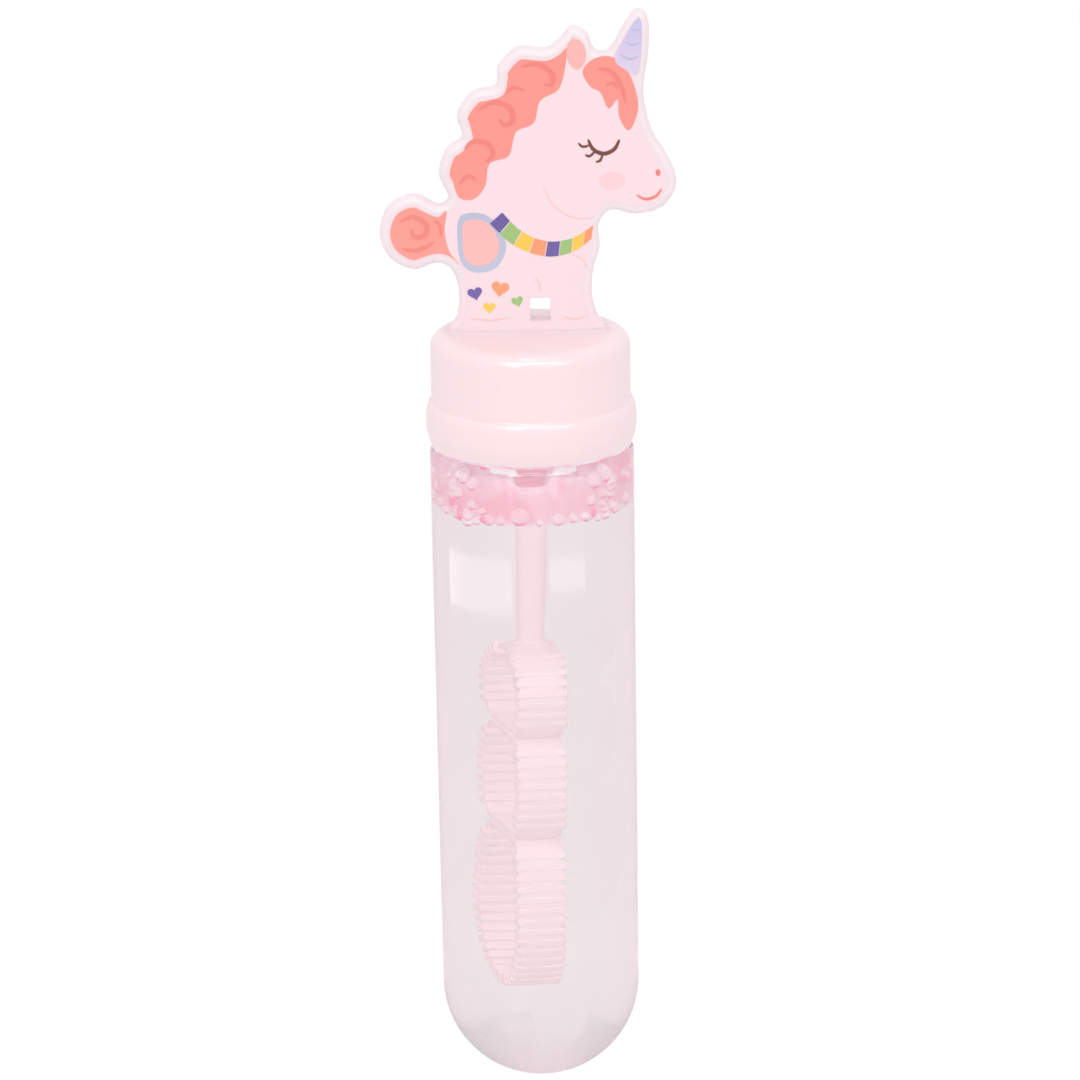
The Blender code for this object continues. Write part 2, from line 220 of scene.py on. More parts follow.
def mend(mesh, weld, drop_slivers):
    """Merges a mesh's doubles, drops its slivers where asked, and turns its faces outwards."""
    shell = bmesh.new()
    shell.from_mesh(mesh)
    bmesh.ops.remove_doubles(shell, verts=shell.verts, dist=weld)
    if drop_slivers:
        bmesh.ops.dissolve_degenerate(shell, edges=shell.edges, dist=weld)
    bmesh.ops.recalc_face_normals(shell, faces=shell.faces)
    shell.to_mesh(mesh)
    shell.free()


def closed_mesh(name, vertices, faces, material, weld=WELD):
    """A smooth-shaded closed mesh object with sharp creases kept."""
    mesh = bpy.data.meshes.new(name)
    mesh.from_pydata(np.asarray(vertices).tolist(), [], [list(map(int, face)) for face in faces])
    mend(mesh, weld, True)
    mesh.shade_smooth()
    mesh.set_sharp_from_angle(angle=CREASE)
    mesh.materials.append(material)
    return add_object(name, mesh)


def with_end_rings(profile):
    """The profile with a point added near both ends of each long span, so that its shading stays straight."""
    span = np.diff(profile, axis=0)
    length = np.linalg.norm(span, axis=1, keepdims=True)
    step = span / np.maximum(length, 1e-9) * END_RING
    added = np.stack([profile[:-1], profile[:-1] + step, profile[1:] - step], axis=1)
    keep = np.ones(added.shape[:2], bool)
    keep[:, 1:] = length > LONG_SPAN
    return np.concatenate([added[keep], profile[-1:]])


def revolved(profile, steps):
    """(radius, height) points turned round the axis: x = r cos a, y = r sin a, z = height."""
    profile = with_end_rings(np.asarray(profile))
    points = round_axis(profile[:, :1], full_turn(steps), profile[:, 1:])
    return points.reshape(-1, 3), grid_faces(len(profile), steps, False, True)


def turned(name, profile, material, steps=TURN_STEPS):
    """A closed piece whose surface is its profile turned round the tube's axis."""
    return closed_mesh(name, *revolved(profile, steps), material)


def inset(outline, distance):
    """A closed outline moved inwards along each corner's bisector.

    Points that crossed over the outline are drawn straight between their neighbours.
    """
    if distance == 0.0:
        return outline
    ahead = np.roll(outline, -1, axis=0) - outline
    ahead /= np.linalg.norm(ahead, axis=1, keepdims=True)
    normal = np.stack([-ahead[:, 1], ahead[:, 0]], axis=1)
    behind = np.roll(normal, 1, axis=0)
    share = 1.0 + np.sum(normal * behind, axis=1, keepdims=True)
    moved = outline + distance * (normal + behind) / np.maximum(share, SHARPEST_BISECTOR)
    nearest = np.linalg.norm(moved[:, None] - outline[None], axis=2).min(axis=1)
    kept = np.flatnonzero(nearest > distance * NOT_CROSSED)
    every = np.arange(len(outline))
    return np.stack([np.interp(every, kept, moved[kept, k], period=len(outline)) for k in (0, 1)], axis=1)


def placed(obj, matrix):
    """Moves the object's mesh, so that the object itself stays at the origin."""
    obj.data.transform(matrix)
    return obj


def unmet_by(obj, *rays):
    """Lets these kinds of rays pass the object by."""
    for ray in rays:
        setattr(obj, "visible_" + ray, False)
    return obj


def see_through(obj):
    """Lets lamplight and daylight straight through a clear piece, so that what is inside it is lit."""
    return unmet_by(obj, "shadow", "diffuse")


def glowing(obj):
    """Lets scattered daylight through a translucent piece, so that what is under it is not in the dark."""
    return unmet_by(obj, "diffuse")


def finished(obj, body, slot, *nodes):
    """Rides a piece on its body and hides the nodes that it stands for; slot is not used."""
    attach(obj, body)
    if nodes:
        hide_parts(*nodes)
    return obj


# Materials
EVEN_SLANT = 0.5
RIM_SLANT = 0.16
FILM_SLANT = 0.35
COAT_FADE = (0.45, 0.8)
CLEAR_COAT_ROUGHNESS = 0.04
MOULDED_COAT_ROUGHNESS = 0.12
CLOUDS = (90.0, 3.0)
GRAIN_SCALE = 1400.0
GRAIN_STRENGTH = 0.04
GRAIN_DEPTH = 0.1 * MM
PLASTIC_SCATTER = (0.9, 0.55, 0.55)
MOTTLE_SCALE = 260.0
MOTTLE_SHARE = 0.3
INK_ROUGHNESS = 0.42
# Bubble films are painted pink at their rim and underside, as a reflection of the pink cap
FILM_PAINTED_UNDERSIDE = (-0.1, -0.65)
FILM_RIM_SHARE = 0.55
# Painted reflection: how much the creases between froth bubbles are painted pink
FROTH_CREASE = 0.6
FROTH_SCATTER = (1.0, 0.8, 0.85)
FROTH_SCATTER_DEPTH = 3.5 * MM


def new_material(name):
    made = bpy.data.materials.new(name)
    made.use_nodes = True
    return made, made.node_tree, made.node_tree.nodes["Principled BSDF"]


def feed(tree, node, inputs):
    """Gives each named or numbered input its value, or a link where the value is another node's output."""
    for key, value in inputs.items():
        socket = node.inputs[key]
        if isinstance(value, bpy.types.NodeSocket):
            tree.links.new(value, socket)
        else:
            socket.default_value = (*value, 1.0) if socket.type == "RGBA" else value


def add_node(tree, kind, inputs, output, **settings):
    """Adds a node, sets it up, feeds it and gives back the named output."""
    node = tree.nodes.new(kind)
    for key, value in settings.items():
        setattr(node, key, value)
    feed(tree, node, inputs)
    return node.outputs[output]


def calculated(tree, operation, *values, clamp=False):
    inputs = dict(enumerate(values))
    return add_node(tree, "ShaderNodeMath", inputs, "Value", operation=operation, use_clamp=clamp)


def ranged(tree, value, start, end, first=0.0, last=1.0, smooth=False):
    """The value's way from start to end, laid out from first to last."""
    inputs = {"Value": value, "From Min": start, "From Max": end, "To Min": first, "To Max": last}
    kind = "SMOOTHSTEP" if smooth else "LINEAR"
    return add_node(tree, "ShaderNodeMapRange", inputs, "Result", interpolation_type=kind)


def mixed(tree, share, first, second):
    """The first colour, turning to the second as the share goes from 0 to 1."""
    inputs = {"Factor": share, "A": first, "B": second}
    return add_node(tree, "ShaderNodeMix", inputs, "Result", data_type="RGBA")


def slantwise(tree, blend):
    """How slantwise a face is seen, for gloss and for the tint of clear pieces."""
    return add_node(tree, "ShaderNodeLayerWeight", {"Blend": blend}, "Facing")


def noise(tree, scale, detail=2.0):
    place = add_node(tree, "ShaderNodeTexCoord", {}, "Object")
    return add_node(tree, "ShaderNodeTexNoise", {"Vector": place, "Scale": scale, "Detail": detail}, "Fac")


def upward(tree, kind):
    """The Z part of the piece's Object coordinates or of its Normal."""
    place = add_node(tree, "ShaderNodeTexCoord", {}, kind)
    return add_node(tree, "ShaderNodeSeparateXYZ", {"Vector": place}, "Z")


def add_gloss(tree, shader, amount, roughness):
    """A clear coat that fades on faces seen most slantwise, where it would only mirror the surround."""
    weight = ranged(tree, slantwise(tree, EVEN_SLANT), *COAT_FADE, amount, 0.0)
    feed(tree, shader, {"Coat Weight": weight, "Coat Roughness": roughness})


def clear_material(name, colour, rim, ior, gloss):
    """Clear plastic or liquid: each face that light crosses tints it, more like rim where it is slantwise."""
    made, tree, shader = new_material(name)
    tint = mixed(tree, slantwise(tree, RIM_SLANT), colour, rim)
    feed(tree, shader, {"Base Color": tint, "Transmission Weight": 1.0, "IOR": ior, "Roughness": 0.0})
    if gloss:
        add_gloss(tree, shader, gloss, CLEAR_COAT_ROUGHNESS)
    return made


def moulded_material(name, colour, shade, roughness, scatter, depth=1.6, foot=None, gloss=0.0):
    """Pale plastic with clouds of a shade and a fine grain.

    foot is (height, softness, colour): the colour of what is lower, or higher where softness is negative.
    """
    made, tree, shader = new_material(name)
    tint = mixed(tree, noise(tree, *CLOUDS), colour, shade)
    if foot:
        height, softness, foot_colour = foot
        share = ranged(tree, upward(tree, "Object"), height + softness, height - softness)
        tint = mixed(tree, share, tint, foot_colour)
    grain = {"Strength": GRAIN_STRENGTH, "Distance": GRAIN_DEPTH, "Height": noise(tree, GRAIN_SCALE)}
    feed(tree, shader, {
        "Base Color": tint,
        "Normal": add_node(tree, "ShaderNodeBump", grain, "Normal"),
        "Roughness": roughness,
        "Subsurface Weight": scatter,
        "Subsurface Radius": PLASTIC_SCATTER,
        "Subsurface Scale": depth * MM,
    })
    if gloss:
        add_gloss(tree, shader, gloss, MOULDED_COAT_ROUGHNESS)
    return made


def ink_material(name, colour, shade, low, high):
    """Ink that runs from a shade at one height of the plate to its colour at another, faintly mottled."""
    made, tree, shader = new_material(name)
    height = upward(tree, "Object")
    ramp = ranged(tree, height, PLATE_BASE + low * MM, PLATE_BASE + high * MM, smooth=True)
    mottle = noise(tree, MOTTLE_SCALE)
    share = calculated(tree, "MULTIPLY_ADD", mottle, MOTTLE_SHARE, ramp, clamp=True)
    feed(tree, shader, {"Base Color": mixed(tree, share, shade, colour), "Roughness": INK_ROUGHNESS})
    return made


def bubble_film(name, colour, edge, thin, thick):
    """Soap film: thin and pale where it faces the eye, thicker at its rim and lower side, where it is painted
    towards the edge colour as a reflection of the pink cap.
    """
    made, tree, shader = new_material(name)
    low = ranged(tree, upward(tree, "Normal"), *FILM_PAINTED_UNDERSIDE, smooth=True)
    rim = calculated(tree, "MULTIPLY", slantwise(tree, FILM_SLANT), FILM_RIM_SHARE)
    painted_pink = calculated(tree, "MAXIMUM", rim, low)
    cover = ranged(tree, painted_pink, 0.0, 1.0, thin, thick)
    # Painted reflection: the rim and lower side are painted towards the edge colour
    tint = mixed(tree, painted_pink, colour, edge)
    feed(tree, shader, {"Base Color": tint, "Alpha": cover, "IOR": 1.15, "Roughness": 0.20})
    return made


def froth_material(name, colour, pale, cell, share):
    """Froth painted with the pink cap's reflected light: pale bubble crowns, painted pink in the creases
    between them and in clouds where the pink gathers.
    """
    made, tree, shader = new_material(name)
    place = add_node(tree, "ShaderNodeTexCoord", {}, "Object")
    cells = add_node(tree, "ShaderNodeTexVoronoi", {"Vector": place, "Scale": cell}, "Distance")
    gathered = ranged(tree, noise(tree, cell / 3, 1.0), 0.62 - share / 2, 0.82 - share / 2, smooth=True)
    painted_pink_share = calculated(tree, "MULTIPLY_ADD", cells, FROTH_CREASE, gathered, clamp=True)
    feed(tree, shader, {
        "Base Color": mixed(tree, painted_pink_share, pale, colour),
        "Roughness": 0.3,
        "Subsurface Weight": 1.0,
        "Subsurface Radius": FROTH_SCATTER,
        "Subsurface Scale": FROTH_SCATTER_DEPTH,
    })
    return made


tube_plastic = clear_material("clear_tube_plastic", (0.972, 0.928, 0.942), (0.985, 0.74, 0.84), 1.12, 1.0)
solution = clear_material(
    "bubble_solution_liquid", (0.828, 0.836, 0.832), (0.828, 0.818, 0.824), 1.25, 0.0,
)
foot_plastic = moulded_material(
    "pale_pink_foot_plastic", (0.855, 0.665, 0.695), (0.845, 0.65, 0.68), 0.9, 0.3,
)
# Painted shade: the socket below the tube's shoulder is painted deep pink for the shade and pink
# inter-reflection inside the cap
cap_plastic = moulded_material(
    "pale_pink_cap_plastic", (0.88, 0.721, 0.744), (0.87, 0.702, 0.726), 0.4, 0.5, 2.0,
    foot=(SOCKET_SHADE_LINE, 0.2 * MM, (1.0, 0.44, 0.55)), gloss=1.0,
)
plate_plastic = moulded_material(
    "pale_pink_plate_plastic", (0.86, 0.745, 0.775), (0.85, 0.725, 0.76), 0.34, 0.2,
    foot=(PLATE_BASE + 6.0 * MM, 4.0 * MM, (0.89, 0.69, 0.73)),
)
# Painted shade: the wand above the liquid, in the shade under the cap, is painted deep pink
wand_plastic = moulded_material(
    "pale_pink_wand_plastic", (1.0, 0.79, 0.83), (0.995, 0.77, 0.815), 0.45, 0.2,
    foot=(LIQUID_LEVEL + 0.6 * MM, -0.5 * MM, (1.0, 0.36, 0.47)),
)
liner_foam = moulded_material("white_liner_foam", (0.88, 0.88, 0.86), (0.84, 0.84, 0.82), 0.75, 0.0)
# Bubble films: their pink rims and undersides are painted reflections of the pink cap
film = bubble_film("bubble_film", (1.0, 0.95, 0.965), (1.0, 0.34, 0.51), 0.27, 0.9)
# Painted highlight: a pale film for the white gleam strips under the shoulder
highlight_film = bubble_film("painted_highlight_film", (1.0, 0.97, 0.98), (1.0, 0.8, 0.87), 0.85, 0.95)
# Painted reflection: saturated pink film for spots of the pink cap seen in the foam
cap_pink_film = bubble_film("painted_cap_pink_film", (1.0, 0.37, 0.52), (1.0, 0.27, 0.44), 0.8, 0.92)
# Painted reflection: the froth's pink stands for the pink cap's light seen in clear foam
froth_cap_pink = froth_material("froth_painted_cap_pink", (1.0, 0.54, 0.63), (1.0, 0.66, 0.74), 600.0, 0.25)
# Painted reflection: the deep pink of the ring under the rim stands for the pink cap seen through the
# shoulder
seat_cap_pink = froth_material("seat_froth_painted_cap_pink", (1.0, 0.34, 0.46), (1.0, 0.66, 0.74), 420.0, 0.55)
INKS = {ink: ink_material("print_" + ink, *looks) for ink, *looks in (
    ("body_pink", (0.89, 0.687, 0.729), (0.88, 0.69, 0.722), -4.0, 6.0),
    ("coral", (0.96, 0.285, 0.245), (0.975, 0.33, 0.28), 8.0, 30.0),
    ("rust_line", (0.83, 0.22, 0.185), (0.85, 0.24, 0.2), 5.0, 35.0),
    ("lilac", (0.56, 0.52, 0.76), (0.74, 0.6, 0.76), 34.0, 44.0),
    ("brown", (0.16, 0.042, 0.034), (0.19, 0.052, 0.04), 0.0, 40.0),
    ("rose", (0.915, 0.44, 0.42), (0.93, 0.49, 0.47), 5.0, 30.0),
    ("blush", (0.95, 0.6, 0.64), (0.96, 0.64, 0.68), 10.0, 30.0),
    ("slate_blue", (0.48, 0.49, 0.64), (0.54, 0.54, 0.68), 5.0, 20.0),
    ("orange", (0.96, 0.31, 0.145), (0.97, 0.35, 0.18), 0.0, 20.0),
    ("yellow", (0.94, 0.545, 0.06), (0.95, 0.6, 0.11), 0.0, 20.0),
    ("green", (0.33, 0.5, 0.165), (0.37, 0.54, 0.2), 0.0, 20.0),
    ("violet", (0.135, 0.09, 0.33), (0.18, 0.125, 0.38), 0.0, 20.0),
    ("fold_line", (0.92, 0.6, 0.63), (0.9, 0.56, 0.59), 0.0, 30.0),
)}

# Tube: inner side upwards, over the neck rim and down the outer side
neck_bore = NECK_RADIUS - NECK_WALL
throat_top = SHOULDER_HEIGHT - THROAT_DROP
rim_round = NECK_WALL / 4
throat_line = smooth_line([
    (INNER_RADIUS, throat_top - THROAT_RISE - 0.3 * MM),
    (INNER_RADIUS - 0.10 * MM, throat_top - THROAT_RISE),
    ((INNER_RADIUS + neck_bore) / 2, throat_top - THROAT_RISE / 2),
    (neck_bore + 0.12 * MM, throat_top),
    (neck_bore, throat_top + 0.6 * MM),
], 5)
tube_profile = [
    arc((0.0, TUBE_RADIUS), INNER_RADIUS, -90, 0, 30),
    throat_line,
    arc((neck_bore + rim_round, NECK_TOP - rim_round), rim_round, 180, 90, 4),
    arc((NECK_RADIUS - rim_round, NECK_TOP - rim_round), rim_round, 90, 0, 4),
]
for drop in SEAL_RIB_DROPS:
    rise = np.linspace(1.0, -1.0, 9)
    bulge = SEAL_RIB_RISE * np.cos(rise * math.pi / 2) ** 0.8
    tube_profile.append(np.stack([NECK_RADIUS + bulge, NECK_TOP - drop + rise * SEAL_RIB_HALF], axis=1))
tube_profile += [
    arc((NECK_RADIUS + NECK_FILLET, SHOULDER_HEIGHT + NECK_FILLET), NECK_FILLET, 180, 270, 5),
    arc((TUBE_RADIUS - SHOULDER_ROUND, SHOULDER_HEIGHT - SHOULDER_ROUND), SHOULDER_ROUND, 90, 0, 8),
    arc((0.0, TUBE_RADIUS), TUBE_RADIUS, 0, -90, 34),
]
tube = turned("tube_body", np.concatenate(tube_profile), tube_plastic)
finished(see_through(tube), "tube", "tube", "tube")

# Bubble solution and the wet foam above it, a little inside the plastic so that no air is left at the wall
liquid_neck = neck_bore + LIQUID_SUNK
foam_top = SHOULDER_HEIGHT + WET_NECK
liquid_profile = np.concatenate([
    [(0.0, foam_top), (liquid_neck - LIQUID_EDGE, foam_top), (liquid_neck, foam_top - LIQUID_EDGE)],
    throat_line[::-1] + LIQUID_SUNK,
    arc((0.0, TUBE_RADIUS), INNER_RADIUS + LIQUID_SUNK, 0, -90, 30),
])
liquid = turned("bubble_liquid", liquid_profile, solution)
finished(see_through(liquid), "tube", "solution", "bubble_solution")

# Cap: top face, outer side down, skirt inside up, then the wand socket and its bore
roof_under = CAP_TOP - CAP_ROOF
skirt_inside = NECK_RADIUS + SEAL_RIB_RISE + SEAT_GAP
bead_height = CAP_BASE + BEAD_MIDDLE
bead_top = CAP_BASE + BEAD_TOP
bead_drop = BEAD_RISE * 0.94
lower_radius = (bead_drop ** 2 + BEAD_MIDDLE ** 2) / (2 * bead_drop)
rim_height = CAP_BASE + RIM_LIFT
lower_angle = math.degrees(math.asin((bead_height - rim_height) / lower_radius))
rim_radius = CAP_RADIUS + BEAD_RISE - lower_radius * (1 - math.cos(math.radians(lower_angle)))
cap_profile = np.concatenate([
    [(0.0, CAP_TOP)],
    arc((CAP_RADIUS - CAP_EDGE_ROUND, CAP_TOP - CAP_EDGE_ROUND), CAP_EDGE_ROUND, 90, 0, 14),
    [(CAP_RADIUS, bead_top + BEAD_FILLET_TALL), (CAP_RADIUS + BEAD_FILLET, bead_top + BEAD_FILLET)],
    arc((CAP_RADIUS, bead_height), (BEAD_RISE, BEAD_TOP - BEAD_MIDDLE), 78, 0, 16),
    arc((CAP_RADIUS + BEAD_RISE - lower_radius, bead_height), lower_radius, 0, -lower_angle, 14)[1:],
    [
        (rim_radius - SOFT_EDGE, rim_height - SOFT_EDGE / 2),
        (skirt_inside + SOFT_EDGE, rim_height - SOFT_EDGE / 2),
        (skirt_inside, rim_height + SOFT_EDGE),
        (skirt_inside, roof_under - ROOF_ROUND),
    ],
    arc((skirt_inside - ROOF_ROUND, roof_under - ROOF_ROUND), ROOF_ROUND, 0, 90, 5)[1:],
    [
        (SOCKET_RADIUS + ROOF_ROUND, roof_under),
        (SOCKET_RADIUS, roof_under - ROOF_ROUND),
        (SOCKET_RADIUS, SHOULDER_HEIGHT),
        (SOCKET_FOOT_RADIUS, SOCKET_END + SOFT_EDGE),
        (SOCKET_FOOT_RADIUS - SOFT_EDGE / 2, SOCKET_END),
        (SOCKET_BORE_RADIUS + SOFT_EDGE / 2, SOCKET_END),
        (SOCKET_BORE_RADIUS, SOCKET_END + SOFT_EDGE),
        (SOCKET_BORE_RADIUS, SOCKET_END + SOCKET_BORE_DEPTH),
        (0.0, SOCKET_END + SOCKET_BORE_DEPTH),
    ],
])
cap = turned("cap_shell", cap_profile, cap_plastic)
finished(glowing(cap), "cap", "cap", "cap")

# Liner: a soft ring under the cap's roof, round the socket, with its four edges rounded
liner_edge = (liner_high.z - liner_low.z) / 4
liner_outer = (liner_high.x - liner_low.x) / 2 - liner_edge
liner_inner = SOCKET_RADIUS + SEAT_GAP + liner_edge
liner_profile = np.concatenate([
    arc((liner_outer, liner_high.z - liner_edge), liner_edge, 90, 0, 4),
    arc((liner_outer, liner_low.z + liner_edge), liner_edge, 0, -90, 4),
    arc((liner_inner, liner_low.z + liner_edge), liner_edge, 270, 180, 4),
    arc((liner_inner, liner_high.z - liner_edge), liner_edge, 180, 90, 4),
])
liner_profile = np.concatenate([liner_profile, liner_profile[:1]])
liner = turned("liner_ring", liner_profile, liner_foam, TURN_STEPS // 2)
finished(glowing(liner), "seal", "liner", "cap_liner")

# Topper plate
corners = np.array(PLATE_OUTLINE_SHARES) * (PLATE_WIDTH, PLATE_TOP - PLATE_BASE)
feet = np.array([corners[-1], corners[0]]) - (0.0, PLATE_SUNK)
plate_outline = np.concatenate([smooth_line(corners, OUTLINE_STEPS), np.linspace(feet[0], feet[1], 24)])


def rounded_plate(name, outline, thickness, edge, material):
    """Rings of the outline, set in by r(1 - sin a) at height t/2 - r(1 - cos a), closed by two flat faces."""
    turn = np.radians(np.linspace(0.0, 90.0, 8))
    set_in = edge * (1 - np.sin(turn))
    height = thickness / 2 - edge * (1 - np.cos(turn))
    set_in = np.concatenate([set_in, set_in[::-1]])
    height = np.concatenate([height, -height[::-1]])
    count = len(outline)
    rings = [np.column_stack([inset(outline, d), np.full(count, h)]) for d, h in zip(set_in, height)]
    faces = grid_faces(len(rings), count, False, True).tolist()
    faces.append(list(range(count)))
    faces.append(list(range(count * (len(rings) - 1), count * len(rings))))
    made = closed_mesh(name, np.concatenate(rings), faces, material)
    for face in made.data.polygons:
        face.use_smooth = len(face.vertices) < 5
    return made


def evaluated_mesh(obj):
    """A new mesh of what the object's modifiers or its curve make."""
    bpy.context.view_layer.update()
    return bpy.data.meshes.new_from_object(obj.evaluated_get(bpy.context.evaluated_depsgraph_get()))


def cut(target, cutter):
    """Takes the cutter's shape out of the target and keeps the result as the target's mesh."""
    step = target.modifiers.new("Cut", "BOOLEAN")
    step.operation = "DIFFERENCE"
    step.solver = "EXACT"
    step.object = cutter
    result = evaluated_mesh(target)
    target.modifiers.clear()
    target.data = result
    bpy.data.objects.remove(cutter)


def rounded_box_outline(centre, size, corner):
    """A rectangle with round corners, as four quarter circles."""
    half = np.array(size) / 2 - corner
    return np.concatenate([
        arc((centre[0] + sx * half[0], centre[1] + sy * half[1]), corner, 90 * k, 90 * k + 90, 4)
        for k, (sx, sy) in enumerate(((1, 1), (-1, 1), (-1, -1), (1, -1)))
    ])


def foot_fillet():
    """A concave fillet round the plate's foot: set out by r(1 - sin a) at height r(1 - cos a)."""
    width = corners[0, 0] - corners[-1, 0]
    middle = ((corners[0, 0] + corners[-1, 0]) / 2, 0.0)
    foot_size = (width + FOOT_SPREAD, PLATE_THICKNESS + 2 * FOOT_ROUND)
    near = rounded_box_outline(middle, (width, PLATE_THICKNESS), PLATE_ROUND)
    far = rounded_box_outline(middle, foot_size, PLATE_ROUND + FOOT_ROUND / 2)
    core = rounded_box_outline(middle, (width * 0.9, PLATE_THICKNESS * 0.6), PLATE_ROUND * 0.6)
    turn = np.radians(np.linspace(0.0, 90.0, 9))
    levels = [(far, -FOOT_SUNK)]
    levels += [
        (near + (far - near) * share, height)
        for share, height in zip(1 - np.sin(turn), FOOT_ROUND * (1 - np.cos(turn)))
    ]
    levels += [(core, FOOT_ROUND), (core, -FOOT_SUNK)]
    rings = [np.column_stack([outline, np.full(len(near), CAP_TOP + height)]) for outline, height in levels]
    faces = grid_faces(len(rings), len(near), True, True)
    return closed_mesh("plate_foot_fillet", np.concatenate(rings), faces, foot_plastic)


stand = Matrix.Translation((0.0, 0.0, PLATE_BASE)) @ Matrix.Rotation(math.radians(90.0), 4, "X")
plate = rounded_plate("topper_plate", plate_outline, PLATE_THICKNESS, PLATE_ROUND, plate_plastic)
gap_outline = rounded_box_outline(PLATE_GAP_MIDDLE, PLATE_GAP, PLATE_GAP_ROUND)
cut(plate, rounded_plate("gap_cutter", gap_outline, PLATE_THICKNESS * 2, PLATE_GAP_EDGE, plate_plastic))
placed(plate, stand)
finished(plate, "cap", "topper", "topper")
finished(foot_fillet(), "cap", "cap")

# Print: thin ink on the plate's front, where what lies on top stands more layers proud
INK_SUNK = 0.05 * MM
LAYER = 0.025 * MM
PRINT_MARGIN = 0.25 * MM
GAP_MARGIN = 0.15 * MM
GAP_PRINT_ROUND = 0.4 * MM
HAIR_MARGIN = 1.45 * MM
EDGE_SKIP = 6
GARLAND_INKS = ("orange", "yellow", "green", "violet")
GARLAND_SHRINK = 0.93
EYE_LAYER_STEP = 0.3


def flat_layer(name, outlines, layers, ink):
    """Ink over the plate's front face, filled between closed outlines in the plate's own plane."""
    name = "print_" + name
    lift = LAYER * layers
    curve = bpy.data.curves.new(name, "CURVE")
    curve.dimensions = "2D"
    curve.fill_mode = "BOTH"
    curve.extrude = (lift + INK_SUNK) / 2
    for points in outlines:
        spline = curve.splines.new("POLY")
        spline.points.add(len(points) - 1)
        flat = np.column_stack([points, np.zeros(len(points)), np.ones(len(points))])
        spline.points.foreach_set("co", flat.ravel())
        spline.use_cyclic_u = True
    drawn = add_object(name + "_drawn", curve)
    mesh = evaluated_mesh(drawn)
    bpy.data.objects.remove(drawn)
    mend(mesh, WELD, False)
    mesh.materials.clear()
    mesh.materials.append(INKS[ink])
    mesh.name = name
    middle = PLATE_THICKNESS / 2 + (lift - INK_SUNK) / 2
    made = placed(add_object(name, mesh), stand @ Matrix.Translation((0.0, 0.0, middle)))
    return finished(made, "cap", "topper")


def blob(points, count=8):
    """A closed smooth shape through points given in millimetres."""
    return smooth_line(np.array(points) * MM, count, closed=True)


def stroke(points, width, ends=0.5):
    """A brush line: a smooth line widened to both sides by width/2 times sin(pi t) to a power."""
    line = smooth_line(np.array(points, float) * MM, 8)
    slope = np.gradient(line, axis=0)
    slope /= np.linalg.norm(slope, axis=1, keepdims=True)
    side = np.stack([-slope[:, 1], slope[:, 0]], axis=1)
    t = np.linspace(0.0, 1.0, len(line))[:, None]
    half = width * MM / 2 * (0.08 + 0.92 * np.sin(math.pi * t) ** ends)
    return np.concatenate([line + side * half, (line - side * half)[::-1]])


def strokes(*rows):
    """Brush lines, each from a row of its width and its points."""
    return [stroke(points, width) for width, *points in rows]


def heart(centre, size, tilt):
    """A heart from x = 16 sin^3 t, y = 13 cos t - 5 cos 2t - 2 cos 3t - cos 4t, scaled, tilted and placed."""
    t = full_turn(48)
    x = 16 * np.sin(t) ** 3
    y = 13 * np.cos(t) - 5 * np.cos(2 * t) - 2 * np.cos(3 * t) - np.cos(4 * t)
    c, s = math.cos(math.radians(tilt)), math.sin(math.radians(tilt))
    shape = np.stack([x * c - y * s, x * s + y * c], axis=1)
    return (np.array(centre) + shape * size / 32) * MM


def oval(centre, radii):
    return arc(np.array(centre) * MM, np.array(radii) * MM, 0, 360, 40)[:-1]


body_print = inset(plate_outline, PLATE_ROUND + PRINT_MARGIN)
gap_clear = rounded_box_outline(PLATE_GAP_MIDDLE, np.array(PLATE_GAP) + 2 * GAP_MARGIN, GAP_PRINT_ROUND)
flat_layer("body", [body_print, gap_clear], 1, "body_pink")

hair_edge = inset(plate_outline, HAIR_MARGIN) / MM


def edge_points(start, end):
    """Points of the inset outline between two corners of the plate's outline, in millimetres."""
    return hair_edge[start * OUTLINE_STEPS:end * OUTLINE_STEPS + 1:EDGE_SKIP].tolist()


mane = edge_points(22, 32) + [
    (-7.2, 18.4), (-5.6, 20.2), (-5.0, 23.2), (-2.4, 24.2), (-1.4, 27.4), (1.0, 28.6), (1.9, 31.6),
    (4.3, 33.0), (5.2, 35.6),
]
forelock = [
    (8.9, 37.0), (11.2, 37.4), (13.2, 36.0), (14.5, 33.2), (14.9, 30.2), (13.7, 27.4), (12.4, 29.2),
    (12.2, 31.6), (11.0, 30.4), (9.9, 32.6), (8.6, 33.4), (7.6, 35.4),
]
tail = edge_points(33, 40) + [(-10.6, 11.2), (-11.2, 14.0), (-10.9, 16.8)]
flat_layer("mane", [blob(mane, 4), blob(forelock)], 2, "coral")
flat_layer("tail", [blob(tail, 4)], 2, "coral")

